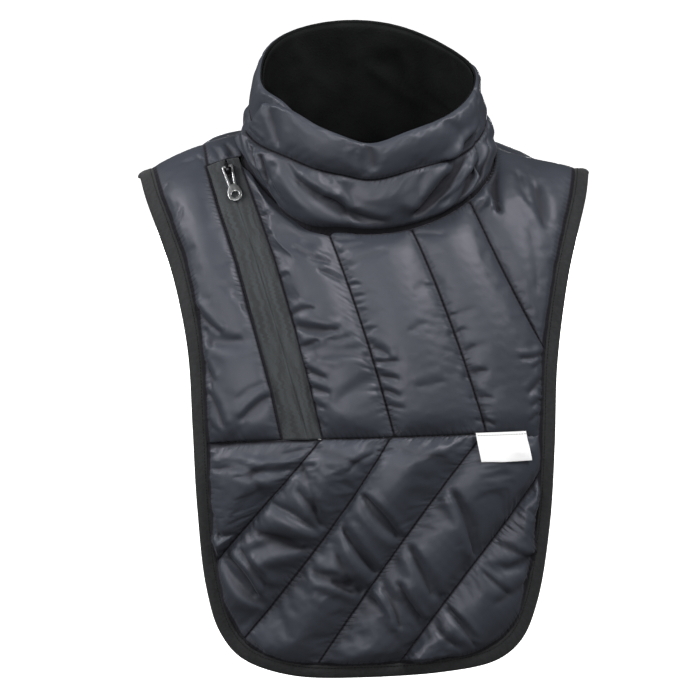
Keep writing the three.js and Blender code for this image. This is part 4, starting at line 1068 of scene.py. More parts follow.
def collar_channels(start, end, steps, puffs, end_fade, roll_steps=18, band_steps=15):
    """The seam allowance, the roll and the band between two ends, and the seam between the last two.
    Each end is a pair of angles, at the base and at the rim."""
    seam_angles = np.linspace(on_band_seam(*start)[0], on_band_seam(*end)[0], steps + 1)
    base_angles = np.linspace(start[0], end[0], steps + 1)
    base = unrolled(base_angles, low_edge(base_angles))
    seam = unrolled(seam_angles, roll_share(seam_angles))
    rim = unrolled(np.linspace(start[1], end[1], steps + 1), 1.0)
    rows = np.linspace(0, 1, band_steps + 1)
    rows = 1 - (1 - rows) ** 1.35
    tucked = unrolled(base_angles, tucked_edge(base_angles))
    allowance = patch(tucked, base, *(straight(tucked[i], base[i], 3) for i in (0, -1)), puff=3)
    roll_ends = (straight(base[i], seam[i], roll_steps) for i in (0, -1))
    band_ends = (seam[i] + rows[:, None] * (rim[i] - seam[i]) for i in (0, -1))
    roll = patch(base, seam, *roll_ends, puff=puffs[0], end=end_fade)
    band = patch(seam, rim, *band_ends, puff=puffs[1], end=end_fade)
    return [allowance, roll, band], seam


# %% Folds and sharp creases of the collar: angle, share up, to angle, to share up, width, depth, side
COLLAR_FOLDS = [
    (0, 0.9, -2, 0.68, 7, 2.4, 0), (-36, 0.45, -4, 0.15, 7, 3.2, 1), (-22, 0.3, -9, 0.06, 4, 2.0, -1),
    (66, 0.44, 34, 0.14, 5.5, 3.4, -1), (60, 0.5, 44, 0.3, 4, 1.6, 1), (-78, 0.42, -64, 0.12, 5.5, 2.8, 1),
    (-70, 0.46, -58, 0.3, 4, 1.6, -1), (-80, 0.85, -66, 0.55, 6, 1.6, 1), (44, 0.92, 52, 0.62, 6, 1.5, 1),
]
BACK_FOLDS = [
    (72, 0.4, 96, 0.12, 6, 1.6, 1), (118, 0.42, 140, 0.1, 7, 1.7, -1), (165, 0.1, 190, 0.4, 7, 1.4, 1),
    (214, 0.44, 236, 0.12, 7, 1.7, 1), (262, 0.1, 274, 0.42, 6, 1.4, -1), (88, 0.9, 96, 0.6, 7, 1.0, 1),
    (150, 0.62, 158, 0.95, 8, 1.0, -1), (230, 0.9, 238, 0.6, 8, 1.0, 1),
]


def on_unrolled(rows):
    """Rows of folds or creases with their angles and shares up turned into flat places."""
    return [
        (a * TURN_LENGTH, u * COLLAR_HEIGHT, b * TURN_LENGTH, w * COLLAR_HEIGHT, *rest)
        for a, u, b, w, *rest in rows]


COLLAR_CREASES = [
    (-1, 0.98, 2, 0.76, 6, 1.8), (-22, 0.60, -20, 0.50, 1.8, 1.2), (-13, 0.50, -16, 0.57, 1.8, 1.2),
    (-17, 0.50, -19, 0.57, 1.6, 1.0), (-16, 0.29, -30, 0.40, 4.5, 2.4), (5, 0.12, -16, 0.31, 4.5, 2.4),
    (-10, 0.19, -16, 0.36, 3.0, 1.6), (-54, 0.26, -60, 0.41, 2.8, 3.6), (-53, 0.40, -47, 0.17, 2.8, 3.4),
    (-56, 1.00, -46, 0.65, 3.2, 2.0), (-38, 0.14, -44, 0.26, 2.6, 1.4), (-56, 0.56, -67, 0.60, 2.6, 1.6),
    (66, 0.62, 48, 0.50, 5.0, 4.6), (50, 0.48, 24, 0.15, 7.0, 6.0), (56, 0.64, 43, 0.52, 4.4, 3.4),
    (42, 0.40, 28, 0.23, 4.4, 3.6), (67, 0.30, 53, 0.26, 4.2, 3.6), (54, 0.27, 44, 0.11, 5.4, 4.6),
    (72, 0.24, 52, 0.04, 5.0, 4.4), (80, 0.40, 62, 0.10, 5.0, 3.8), (36, 0.26, 22, 0.13, 4.2, 3.0),
    (84, 0.44, 74, 0.30, 3.0, 2.0),
]


def collar_relief(rows, seed):
    def relief(notes):
        flat = notes["flat"]
        lumps = 0.5 * soft_noise(flat, 38, seed)
        gathers = puckers(notes, 1.1, 10, (9.0, 13.0), 0.4)
        return lumps + gathers + folds(flat, on_unrolled(rows))
    return relief


def collar_detail(seed):
    def detail(notes):
        flat = notes["flat"]
        below_rim = 1 - smoothstep(flat[:, 1] / COLLAR_HEIGHT, 0.8, 0.9)
        gathers = puckers(notes, 0.7, 5, (5.2, 7.3), 0.6) * below_rim
        return gathers + 0.05 * soft_noise(flat, 8, seed)
    return detail


def flap_end(flat):
    """The flap's low end is flatter, because it is drawn over the layer under it."""
    angle, up = flat[:, 0] / TURN_LENGTH, flat[:, 1] / COLLAR_HEIGHT
    return 1 - 0.45 * smoothstep(-angle, 38, 66) * (1 - smoothstep(up, 0.3, 0.55))


def under_flap(flat):
    """The layer under the flap is pressed thinner."""
    return 1 - 0.4 * smoothstep(flat[:, 0] / TURN_LENGTH, 262, 292)


def from_collar_ditch(notes):
    """The way to the stitched line or the base. Both get painted shade, for the shadow in the stitched line
    and under the roll where it meets the bib; the rim is rolled over and gets none.
    """
    angle, up = notes["flat"][:, 0] / TURN_LENGTH, notes["flat"][:, 1] / COLLAR_HEIGHT
    return np.minimum(abs(up - roll_share(angle)), np.maximum(0, up)) * COLLAR_HEIGHT


front_channels, front_band_seam = collar_channels(
    (FLAP_LOW, FLAP_HIGH), (SIDE_SEAM_LOW, SIDE_SEAM_HIGH), 76, FRONT_PUFFS, 0.025)
collar_front = make_cloth(
    "collar_front_cloth", front_channels, on_flap, collar_relief(COLLAR_FOLDS, 41),
    collar_detail(42), on_unrolled(COLLAR_CREASES), 0.015, 1.5, flap_end, from_collar_ditch)
back_channels, back_band_seam = collar_channels(
    (SIDE_SEAM_LOW, SIDE_SEAM_HIGH), (BACK_END, BACK_END), 142, BACK_PUFFS, 0.013)
by_side_seam = COLLAR_CREASES[-4:]
collar_back = make_cloth(
    "collar_back_cloth", back_channels, on_under_layer, collar_relief(BACK_FOLDS, 51),
    collar_detail(52), on_unrolled(by_side_seam), 0.015, 1.5, under_flap, from_collar_ditch)

# %% [markdown]
# ## The fleece inside the collar
# A brushed lining has no sharp folds. It is one sheet round the inside with soft lumps and a
# fine nap. It ends a little below the rim, where the shell is turned in.

# %% The lining
LINING = {"start": 20, "low": 0.0, "high": 0.985, "high_at_flap": 0.945, "gap": 0.4, "thick": 2.0}


def on_lining(flat, height):
    return on_collar(flat, -LINING["gap"] - np.asarray(height, float), False)


LINING_FOLDS = [
    (128, 0.35, 152, 0.72, 6, 1.8, 1), (140, 0.3, 172, 0.62, 7, 1.8, 1), (200, 0.5, 216, 0.8, 8, 1.5, -1),
    (158, 0.82, 184, 0.7, 7, 1.4, 1), (228, 0.35, 246, 0.6, 8, 1.4, 1), (104, 0.5, 118, 0.85, 6, 1.6, -1),
]


lining_angles = np.linspace(LINING["start"], LINING["start"] + 360, 181)
at_flap = np.exp(-((wrapped(lining_angles + 55) / 32) ** 2))
lining_top = unrolled(lining_angles, LINING["high"] + (LINING["high_at_flap"] - LINING["high"]) * at_flap)
lining_low = unrolled(lining_angles, LINING["low"])
lining = lay_flat("collar_lining_fleece", [patch(
    lining_low, lining_top, *(straight(lining_low[i], lining_top[i], 26) for i in (0, -1)))])
lining_notes = read_notes(lining.data)
lining_flat = lining_notes["flat"]
lining_nap = 0.9 * soft_noise(lining_flat, 34, 61)
lining_nap -= folds(lining_flat, on_unrolled(LINING_FOLDS))
lining_nap += 0.16 * soft_noise(lining_flat, 7, 62)
lining_height = LINING["thick"] + np.maximum(lining_nap, -1.2) * smoothstep(lining_notes["near"], 0, 8)
lining_height[edge_points(lining.data)] = 0.8
set_points(lining.data, on_lining(lining_flat, lining_height) * MM)
face_outwards(lining, on_lining)
add_pattern_map(lining.data, lining_flat)
close_cloth(lining, on_lining)
print("lining:", len(lining.data.polygons), "faces")

# %% [markdown]
# ## The binding round the bib
# A folded tape closes the bib's outer edge. Its fold is round, and it is pressed flat where it is
# sewn down, so its inner border is a thin lip. Here a closed section is laid along the edge, one
# row after another. A curve with a bevel would be shorter to write, but it couldn't be pressed
# into the trunk's form.

# %% Binding
BINDING_SECTION = [
    (11.0, 1.5), (11.0, 2.6), (10.3, 3.05), (9.4, 3.05), (8.8, 3.1), (7.6, 3.55), (5.8, 3.85), (4.0, 3.85),
    (2.4, 3.6), (1.1, 3.0), (0.3, 2.2), (0.0, 1.3), (0.3, 0.4), (1.2, -0.3), (2.6, -0.7), (5.0, -0.8),
    (8.0, -0.7), (9.8, -0.4), (10.7, 0.2),
]
FRONT_STEPS, BACK_STEPS = 620, 420
SEWN_FROM_EDGE = 9.2


def outer_edge(line, steps):
    """The bib's outer edge, cut level with the shoulder seam at its two ends."""
    line = stretch(line, 0, len(line) - 1, steps)
    line[[0, -1], 1] = SHOULDER_SEAM_V
    return line


def edge_side(line):
    """The way across the binding, from the edge towards the middle of the cloth."""
    side = side_of(line)
    side[[0, -1]] = np.sign(side[[0, -1], :1]) * np.array([1, 0])
    return side


def sweep(name, rows_of_places):
    """A closed mesh through rows of places in millimetres. Each row closes up on itself."""
    flat = bmesh.new()
    add_grid(flat, rows_of_places * MM)
    bmesh.ops.remove_doubles(flat, verts=flat.verts, dist=1e-6)
    bmesh.ops.holes_fill(flat, edges=[edge for edge in flat.edges if edge.is_boundary], sides=0)
    bmesh.ops.recalc_face_normals(flat, faces=flat.faces)
    return finished(name, flat)


def finished(name, made):
    for face in made.faces:
        face.smooth = True
    return in_scene(name, as_mesh(name, made))


def make_binding(name, edge, steps, sign, seed):
    line = outer_edge(edge, steps)
    side = edge_side(line) * sign
    way = way_along(line)
    section = np.array(BINDING_SECTION + BINDING_SECTION[:1])
    waves = 0.16 * np.sin(way / 3.1 + 2 * np.sin(way / 41)) * smoothstep(np.sin(way / 23 + seed), -0.8, 0.8)
    swell_along = 0.25 * soft_noise(np.column_stack([way, np.zeros_like(way)]), 60, seed)
    rows = []
    for k in range(len(line)):
        across, up = section[:, 0], section[:, 1].copy()
        top = np.clip((up - 2.3) / 1.5, 0, 1)
        up += top * (waves[k] * np.exp(-(((across - 8.9) / 1.6) ** 2)) + swell_along[k])
        at = line[k] + side[k] * across[:, None]
        rows.append(on_bib(at, up))
    piece = sweep(name, np.array(rows))
    lengths, turns = np.repeat(way, len(section) - 1), np.tile(np.arange(len(section) - 1) * 1.7, len(line))
    if len(lengths) == len(piece.data.vertices):
        add_pattern_map(piece.data, np.column_stack([turns, lengths]))
    print(name, "is", round(way[-1]), "mm long,", len(piece.data.polygons), "faces")
    return piece, way[-1]


binding_front, binding_front_length = make_binding(
    "edge_binding_front_tape", front_edge, FRONT_STEPS, 1, 71)
binding_back, binding_back_length = make_binding("edge_binding_back_tape", back_edge, BACK_STEPS, -1, 72)

# %% [markdown]
# ## The zip
# The zip has two woven tapes, turned in at their slit with the coil under them, a slider and a
# pull. The tapes lie under the panels' sides and rise a little to a lip at the slit.

# %% Zip measures
TAPE = {
    "inside": 1.9, "outside": 2.9, "slit_gap": 0.12, "parted_gap": 1.4, "parted_to": 52, "tucked": 1.6,
    "woven_width": 15,
}
CHAIN = {"width": 5, "inside": 0.3, "outside": 1.4, "pitch": 1.25, "wire": 0.32}
SLIDER = {
    "v": 43, "length": 12, "top_width": 9.4, "low_width": 7.4, "plate": 1.5, "under_share": 0.6,
    "nose_width": 3, "bridge_width": 2.8, "bridge_rise": 5.4, "bridge_bar": 1.2, "bridge_from": 5,
    "bridge_to": -4,
}
PULL = {
    "pivot_at": 2.3, "pivot_rise": 3.5, "rest_angle": 8, "thick": 1.3, "top_width": 9.4, "leg": 2,
    "slot_length": 19, "bar": 1.3, "eye_at": 27, "eye_radius": 5.8, "hole_radius": 3, "waist": 6.6,
}
AIR = 0.35
TAPE_STEPS = 150

# %% Tapes
TAPE_PROFILE = [(0.0, 0.0), (0.04, 0.42), (0.12, 0.62), (0.3, 0.46), (0.55, 0.2), (0.8, -0.15), (1.0, -0.75)]
TAPE_COLUMNS = 15
TAPE_RIDGE = {"rise": 1.3, "from": 78, "full": 104}


def make_tape(name, sign):
    outer = zip_side("left" if sign < 0 else "right", ZIP_V[0], TAPE_STEPS)
    inner = zip_side("slit", ZIP_V[0], TAPE_STEPS)
    parted = 1 - smoothstep(inner[:, 1], SLIDER["v"], TAPE["parted_to"])
    inner[:, 0] += sign / 2 * (TAPE["slit_gap"] + (TAPE["parted_gap"] - TAPE["slit_gap"]) * parted)
    outer[:, 0] += sign * TAPE["tucked"]
    way = way_along(inner)
    shares, rises = np.transpose(TAPE_PROFILE)
    across = np.interp(np.linspace(0, 1, TAPE_COLUMNS), np.linspace(0, 1, len(shares)), shares)
    lifts = np.interp(across, shares, rises)
    ripple = 0.12 * np.sin(way / 7.5 + 1.5 * np.sin(way / 33))[:, None] * np.exp(-((across - 0.7) / 0.3) ** 2)
    slider_flat = smoothstep(abs(inner[:, 1] - SLIDER["v"]), 6, 14)[:, None]
    top = TAPE["outside"] - 0.62 + lifts[None, :] + (ripple - 0.05) * slider_flat
    top = np.minimum(top, TAPE["outside"])
    ridge = TAPE_RIDGE["rise"] * np.exp(-((across / 0.42) ** 2))
    ridge -= 0.25 * np.exp(-(((across - 0.85) / 0.2) ** 2))
    top += ridge[None, :] * smoothstep(inner[:, 1], TAPE_RIDGE["from"], TAPE_RIDGE["full"])[:, None]
    at = inner[:, None] + (outer - inner)[:, None] * across[None, :, None]
    over = on_form(at[..., 0], at[..., 1], top)
    under = on_form(at[..., 0], at[..., 1], top - (TAPE["outside"] - TAPE["inside"]) * 0.75)
    rows = np.concatenate([over, under[:, ::-1], over[:, :1]], axis=1)
    piece = sweep(name, rows)
    loop = np.concatenate([across, across[::-1]]) * TAPE["woven_width"]
    if len(piece.data.vertices) == len(loop) * len(way):
        add_pattern_map(piece.data, np.column_stack([np.tile(loop, len(way)), np.repeat(way, len(loop))]))
    return piece, way[-1]


tape_left, tape_length = make_tape("zip_tape_left_woven", -1)
tape_right, _ = make_tape("zip_tape_right_woven", 1)
print("zip tape:", round(tape_length), "mm long")

# %% [markdown]
# ## The coil
# The teeth of this zip are one plastic wire, wound flat and sewn under the tapes. A helix pressed
# flat is the real shape, so the coil is a curve given a round section, and then made a mesh.

# %% Coil
def curve_mesh(curve, splines, cyclic):
    """The mesh of a curve through rows of places in millimetres. The curve itself is removed."""
    for points in splines:
        spline = curve.splines.new("POLY")
        spline.points.add(len(points) - 1)
        for point, at in zip(spline.points, points):
            point.co = (*(np.asarray(at) * MM), 1)
        spline.use_cyclic_u = cyclic
    holder = in_scene("curve", curve)
    mesh = bpy.data.meshes.new_from_object(holder.evaluated_get(bpy.context.evaluated_depsgraph_get()))
    bpy.data.objects.remove(holder)
    bpy.data.curves.remove(curve)
    return mesh


def make_coil():
    start_v = SLIDER["v"] + SLIDER["length"] / 2 + AIR
    slit = even(zip_side("slit", start_v, 200), 2000)
    way = way_along(slit)
    turns = int(way[-1] / CHAIN["pitch"])
    turn = np.linspace(0, turns, turns * 10 + 1)
    at = read_line(slit, way, turn / turns * way[-1])
    across = (CHAIN["width"] / 2 - CHAIN["wire"]) * np.cos(2 * math.pi * turn)
    middle = (CHAIN["inside"] + CHAIN["outside"]) / 2
    up = middle + ((CHAIN["outside"] - CHAIN["inside"]) / 2 - CHAIN["wire"] / 2) * np.sin(2 * math.pi * turn)
    places = on_form(at[:, 0] + across, at[:, 1], up)
    curve = bpy.data.curves.new("coil", "CURVE")
    curve.dimensions = "3D"
    curve.bevel_depth = CHAIN["wire"] * MM
    curve.bevel_resolution = 0
    curve.use_fill_caps = True
    mesh = curve_mesh(curve, [places], False)
    mesh.name = "zip_chain_coil"
    mesh.shade_smooth()
    print("coil:", turns, "turns")
    return in_scene("zip_chain_coil", mesh)


coil = make_coil()

# %% [markdown]
# ## Slider and pull
# Both are small castings with rounded borders. Their outlines are flat curves with a bevel, which
# is the shortest way to a plate with a rounded rim and with holes. They are made mesh, then set in
# the zip's own frame: x across the tapes, y up the zip, z off the cloth.

# %% The zip's frame
def zip_frame():
    v, step, height = SLIDER["v"], 6, TAPE["outside"] + AIR
    middle, above, below = (
        Vector(on_form(float(zip_x("slit", at)), at, height)) for at in (v, v - step, v + step))
    off = middle - Vector(on_form(float(zip_x("slit", v)), v, 0))
    y = (above - below).normalized()
    x = y.cross(off).normalized()
    z = x.cross(y)
    turn = Matrix((x, y, z)).transposed().to_4x4()
    return Matrix.Translation(middle * MM) @ turn


ZIP_FRAME = zip_frame()


def rounded_plate(outlines, thick, rim, steps=4):
    """A flat plate with holes and a rounded rim, centred on its own plane, in metres."""
    curve = bpy.data.curves.new("outline", "CURVE")
    curve.dimensions = "2D"
    curve.fill_mode = "BOTH"
    curve.extrude = (thick / 2 - rim) * MM
    curve.bevel_depth = rim * MM
    curve.bevel_resolution = steps
    curve.offset = -rim * MM
    return curve_mesh(curve, [[(x, y, 0) for x, y in points] for points in outlines], True)


def arc(middle, radius, start, end, steps):
    turn = np.radians(np.linspace(start, end, steps + 1))
    return np.column_stack([middle[0] + radius * np.cos(turn), middle[1] + radius * np.sin(turn)])


def curved(a, control, b, steps):
    t = np.linspace(0, 1, steps + 1)[:, None]
    a, control, b = (np.array(p, float) for p in (a, control, b))
    return (1 - t) ** 2 * a + 2 * t * (1 - t) * control + t**2 * b


def round_off(made, edges, radius, segments):
    bmesh.ops.bevel(
        made, geom=edges, offset=radius * MM, segments=segments, profile=0.5, affect="EDGES", material=-1)


def put_together(name, parts):
    """One mesh of several, each with its own place."""
    whole = bmesh.new()
    for mesh, place in parts:
        mesh.transform(place)
        whole.from_mesh(mesh)
        bpy.data.meshes.remove(mesh)
    bmesh.ops.remove_doubles(whole, verts=whole.verts, dist=1e-6)
    bmesh.ops.recalc_face_normals(whole, faces=whole.faces)
    piece = finished(name, whole)
    piece.data.set_sharp_from_angle(angle=math.radians(40))
    return piece


# %% Slider
def slider_outline(share):
    half_top, half_low = SLIDER["top_width"] / 2 * share, SLIDER["low_width"] / 2 * share
    top, low = SLIDER["length"] / 2, -SLIDER["length"] / 2
    right = join(curved((half_low, low), (half_low, 0), (half_top, top - 2.5), 8),
                 curved((half_top, top - 2.5), (half_top, top), (0, top), 8))
    left = right[::-1] * np.array([-1, 1])
    return np.vstack([right, left[1:]])


def bridge_outline():
    """The bridge seen from the side: along the zip and up."""
    low, high = SLIDER["bridge_to"], SLIDER["bridge_from"]
    rise, bar = SLIDER["bridge_rise"], SLIDER["bridge_bar"]
    base = -0.4
    outside = [
        (high, base), (high, rise - 1.9), (high - 0.5, rise - 0.7), (high - 1.7, rise), (low + 2.6, rise),
        (low + 1.0, rise - 0.6), (low + 0.2, rise - 1.9), (low, rise - 3.4), (low, base)]
    inside = [
        (low + bar, base), (low + bar, rise - 3.4), (low + bar + 0.5, rise - 1.9),
        (low + bar + 1.4, rise - bar), (high - bar - 1.0, rise - bar), (high - bar, rise - bar - 1.0),
        (high - bar, base)]
    return np.array(outside + inside)


def make_slider():
    thick = SLIDER["plate"]
    under = -(TAPE["outside"] + AIR) + CHAIN["inside"] - AIR - thick
    upper = rounded_plate([slider_outline(1.0)], thick, 0.45)
    lower = rounded_plate([slider_outline(SLIDER["under_share"])], thick, 0.4)
    bridge = rounded_plate([bridge_outline()], SLIDER["bridge_width"], 0.32)
    upright = Matrix(((0, 0, 1, 0), (1, 0, 0, 0), (0, 1, 0, 0), (0, 0, 0, 1)))
    nose_height = thick * 0.8 - under
    nose = bmesh.new()
    nose_size = Matrix.Diagonal((SLIDER["nose_width"] * MM, 1.6 * MM, nose_height * MM, 1))
    bmesh.ops.create_cube(nose, size=1, matrix=nose_size)
    round_off(nose, nose.edges[:], 0.3, 3)
    lift = lambda z, y=0.0: ZIP_FRAME @ Matrix.Translation((0, y * MM, z * MM))
    return put_together("zip_slider_cast", [
        (upper, lift(thick / 2)), (lower, lift(under + thick / 2)),
        (bridge, lift(thick - 0.1) @ upright),
        (as_mesh("nose", nose), lift(under + nose_height / 2, SLIDER["length"] / 2 - 1.2))])


slider = make_slider()

# %% Pull
def make_pull():
    half, top = PULL["top_width"] / 2, PULL["bar"] / 2 + 0.4
    waist, slot, eye, radius = PULL["waist"] / 2, PULL["slot_length"], PULL["eye_at"], PULL["eye_radius"]
    right = np.vstack([
        arc((half - 1, top - 1), 1, 90, 0, 5)[:-1],
        curved((half, top - 1), (half - 0.7, -9), (waist, -slot), 10)[:-1],
        curved((waist, -slot), (radius, -slot - 2), (radius, -eye), 10)[:-1],
        arc((0, -eye), radius, 0, -90, 12)])
    outline = np.vstack([right, right[::-1][1:] * np.array([-1, 1])])
    slot_half, slot_low = half - PULL["leg"], waist - PULL["leg"]
    slot_top, slot_end = -PULL["bar"] / 2 - 0.2, -slot + PULL["leg"]
    opening = np.vstack([
        arc((slot_half - 0.6, slot_top - 0.6), 0.6, 90, 0, 4),
        arc((slot_low - 0.5, slot_end + 0.5), 0.5, 0, -90, 4),
        arc((-slot_low + 0.5, slot_end + 0.5), 0.5, -90, -180, 4),
        arc((-slot_half + 0.6, slot_top - 0.6), 0.6, 180, 90, 4)])
    hole = arc((0, -eye), PULL["hole_radius"], 0, 360, 32)[:-1]
    plate = rounded_plate([outline, opening, hole], PULL["thick"], 0.62, 5)
    turn = Matrix.Rotation(math.radians(PULL["rest_angle"]), 4, "X")
    place = ZIP_FRAME @ Matrix.Translation((0, PULL["pivot_at"] * MM, PULL["pivot_rise"] * MM)) @ turn
    return put_together("zip_pull_cast", [(plate, place)])


pull = make_pull()
for piece in (slider, pull):
    print(piece.name, "has", len(piece.data.polygons), "faces")

# %% [markdown]
# ## The white tab
# The tab is a short stiff tape, folded and sewn on by its top over the level seam. It rests on the
# padding, so rays find the height of the finished panels under each of its points.

# %% Rays on the finished cloth
def cloth_under(pieces):
    """A tree of several pieces' faces, to drop things on."""
    together = bmesh.new()
    for piece in pieces:
        together.from_mesh(piece.data)
    tree = BVHTree.FromBMesh(together)
    together.free()
    return tree


def drop(tree, high, low):
    """How far down, in millimetres, rays from high to low places first meet the cloth."""
    downs = []
    for start, end in zip(high, low):
        way = Vector(end * MM) - Vector(start * MM)
        hit = tree.ray_cast(Vector(start * MM), way.normalized(), way.length)
        downs.append(hit[3] / MM if hit[0] is not None else way.length / MM)
    return np.array(downs)


bib_tree = cloth_under([side_panel, chest_panel, lower_panel, back_panel])

# %% Tab
TAB = {"left": 82, "right": 120, "above_seam": 1.5, "height": 20.5, "slant": 3.2, "lift": 0.5, "thick": 0.8}
TAB_WIDE, TAB_DOWN, HIGH = 26, 16, 40
TAB_SETTLING = 120


def make_tab():
    top = seam_line(TAB["left"], TAB["right"], TAB_WIDE, TAB["above_seam"])
    low = top + np.array([TAB["slant"], TAB["height"]])
    t = np.linspace(0, 1, TAB_DOWN + 1)[:, None, None]
    flat = (top[None] * (1 - t) + low[None] * t).reshape(-1, 2)
    downs = drop(bib_tree, on_bib(flat, HIGH), on_bib(flat, 0.0))
    heights = (HIGH - downs).reshape(TAB_DOWN + 1, TAB_WIDE + 1)
    resting = heights
    for _ in range(TAB_SETTLING):
        around = np.pad(heights, 1, mode="edge")
        softer = (around[:-2, 1:-1] + around[2:, 1:-1] + around[1:-1, :-2] + around[1:-1, 2:]) / 4
        heights = np.maximum(resting, softer)
    share = t[:, 0]
    heights = heights + TAB["lift"] + 0.5 * smoothstep(share, 0.5, 1)
    places = [
        on_bib(flat, heights.ravel() + up).reshape(TAB_DOWN + 1, TAB_WIDE + 1, 3)
        for up in (0.0, TAB["thick"] * 0.6)]
    sheet = bmesh.new()
    for side in places:
        add_grid(sheet, side * MM)
    rims = [edge for edge in sheet.edges if edge.is_boundary]
    bmesh.ops.bridge_loops(sheet, edges=rims)
    bmesh.ops.recalc_face_normals(sheet, faces=sheet.faces)
    rim = [edge for edge in sheet.edges if edge.calc_face_angle(0) > 1]
    round_off(sheet, rim, 0.12, 2)
    return finished("reflective_tab_cloth", sheet)


tab = make_tab()
print("tab:", len(tab.data.polygons), "faces")

# %% [markdown]
# ## The stitches
# Each quilting line is sewn with a dark thread. A line drawn in the material would do from afar,
# but a real stitch is a small bead of thread that sinks at its ends, so each one is a short
# rounded bead, laid on the finished cloth where a ray from above meets it.

# %% Beads of thread
STITCH = {"pitch": 3.3, "length": 2.7, "wide": 0.55, "high": 0.42}


def places_on(tree, place, flat, up=0.0):
    high, low = place(flat, 30.0), place(flat, -2.0)
    down = drop(tree, high, low)
    way = (low - high) / np.linalg.norm(low - high, axis=1, keepdims=True)
    return high + way * (down - up)[:, None], -way


def sew(name, rows, pitch=STITCH["pitch"], size=1.0):
    """Stitches along several lines. Each row has a line, the place it is laid on and its cloth."""
    sewn = bmesh.new()
    count = 0
    for line, place, tree in rows:
        number = max(2, round(way_along(line)[-1] / pitch))
        ends = even(line, number * 10)
        reach = round(5 * STITCH["length"] / STITCH["pitch"])
        middles = np.arange(5, number * 10, 10)
        first, out = places_on(tree, place, ends[middles - reach], STITCH["high"] * 0.1)
        last, _ = places_on(tree, place, ends[middles + reach], STITCH["high"] * 0.1)
        row = bmesh.new()
        for a, b, up in zip(first, last, out):
            along, up = Vector(b - a), Vector(up)
            up = (up - along * (up.dot(along) / along.length_squared)).normalized()
            side = up.cross(along.normalized())
            middle = Vector((a + b) / 2) + up * STITCH["high"] * 0.25
            columns = (along, side * STITCH["wide"] * size, up * STITCH["high"] * size)
            shape = Matrix(columns).transposed().to_4x4()
            bead = Matrix.Scale(MM, 4) @ Matrix.Translation(middle) @ shape
            bead = bead @ Matrix.Rotation(math.pi / 2, 4, "Y")
            bmesh.ops.create_uvsphere(row, u_segments=6, v_segments=4, radius=0.5, matrix=bead)
        count += number
        mesh = as_mesh("row", row)
        sewn.from_mesh(mesh)
        bpy.data.meshes.remove(mesh)
    print(name, "has", count, "stitches")
    return finished(name, sewn)


quilting = [chest_line_1, chest_line_2, arm_line] + [line for line, _, _ in diagonals]
quilting = [cut(line, 1, 4) for line in quilting] + [cut(line, 1, 4) for line, _ in back_lines]
bib_stitches = sew("quilting_thread", [(line, on_bib, bib_tree) for line in quilting])
zip_rows = [
    cut(zip_side("left", ZIP_V[0], 120) + np.array([-1.5, 0]), 2, 3),
    cut(zip_side("right", CHEST_CORNER_V + 4, 120) + np.array([1.5, 0]), 2, 3)]
zip_stitches = sew("zip_thread", [(line, on_bib, bib_tree) for line in zip_rows], 2.6, 0.85)

# %% Collar, bindings and tab
collar_trees = [cloth_under([piece]) for piece in (collar_front, collar_back)]
collar_stitches = sew("collar_thread", [
    (cut(front_band_seam, 1, 1), on_flap, collar_trees[0]),
    (cut(back_band_seam, 1, 1), on_under_layer, collar_trees[1])])
binding_tree = cloth_under([binding_front, binding_back])
binding_rows = [
    inset(outer_edge(front_edge, FRONT_STEPS), SEWN_FROM_EDGE),
    inset(outer_edge(back_edge, BACK_STEPS), -SEWN_FROM_EDGE)]
binding_stitches = sew(
    "binding_thread", [(cut(line, 2, 2), on_bib, binding_tree) for line in binding_rows], 2.6, 0.8)
tab_row = seam_line(TAB["left"] + 0.9, TAB["right"] - 0.3, 30, TAB["above_seam"]) + np.array([0.3, 1.9])
tab_stitches = sew("tab_thread", [(tab_row, on_bib, cloth_under([tab]))], 2.2, 0.8)

# %% [markdown]
# ## Finishes
# The shell is a thin, tightly woven nylon with a soft gloss: its weave is too fine to see from
# afar, but close up it breaks the gloss, and small crinkles from the seams catch the light. The
# patterns that several cloths share are node groups, built once. Their colours and heights could
# be painted images, but nodes stay sharp at any distance.

# %% Node helpers
def new_group(name, inputs, outputs):
    group = bpy.data.node_groups.new(name, "ShaderNodeTree")
    for label, value in inputs.items():
        socket = group.interface.new_socket(label, in_out="INPUT", socket_type="NodeSocketFloat")
        socket.default_value = value
    for label in outputs:
        group.interface.new_socket(label, in_out="OUTPUT", socket_type="NodeSocketFloat")
    return group, group.nodes.new("NodeGroupInput"), group.nodes.new("NodeGroupOutput")


def wire(tree, kind, settings=None, **values):
    """A node with settings, and values or links for its inputs by name or place."""
    node = tree.nodes.new(kind)
    for key, value in (settings or {}).items():
        setattr(node, key, value)
    for key, value in values.items():
        numbered = key[0] == "i" and key[1:].isdigit()
        socket = node.inputs[int(key[1:]) if numbered else key.replace("_", " ")]
        if isinstance(value, bpy.types.NodeSocket):
            tree.links.new(value, socket)
        else:
            socket.default_value = value
    return node


def feed(tree, node, **sources):
    for key, source in sources.items():
        tree.links.new(source, node.inputs[key.replace("_", " ")])


def reckon(tree, operation, a, b=0.0, c=0.5):
    return wire(tree, "ShaderNodeMath", {"operation": operation}, i0=a, i1=b, i2=c).outputs[0]


def placed(tree, group, **values):
    return wire(tree, "ShaderNodeGroup", {"node_tree": group}, **values).outputs


def read_note(tree, name):
    return wire(tree, "ShaderNodeAttribute", {"attribute_name": name}).outputs["Fac"]


def noise(tree, place, scale, detail, **values):
    node = wire(tree, "ShaderNodeTexNoise", None, Vector=place, Scale=scale, Detail=detail, **values)
    return node.outputs["Fac"]


def on_object(tree):
    return tree.nodes.new("ShaderNodeTexCoord").outputs["Object"]


def on_pattern(tree):
    return wire(tree, "ShaderNodeUVMap", {"uv_map": "pattern"}).outputs["UV"]


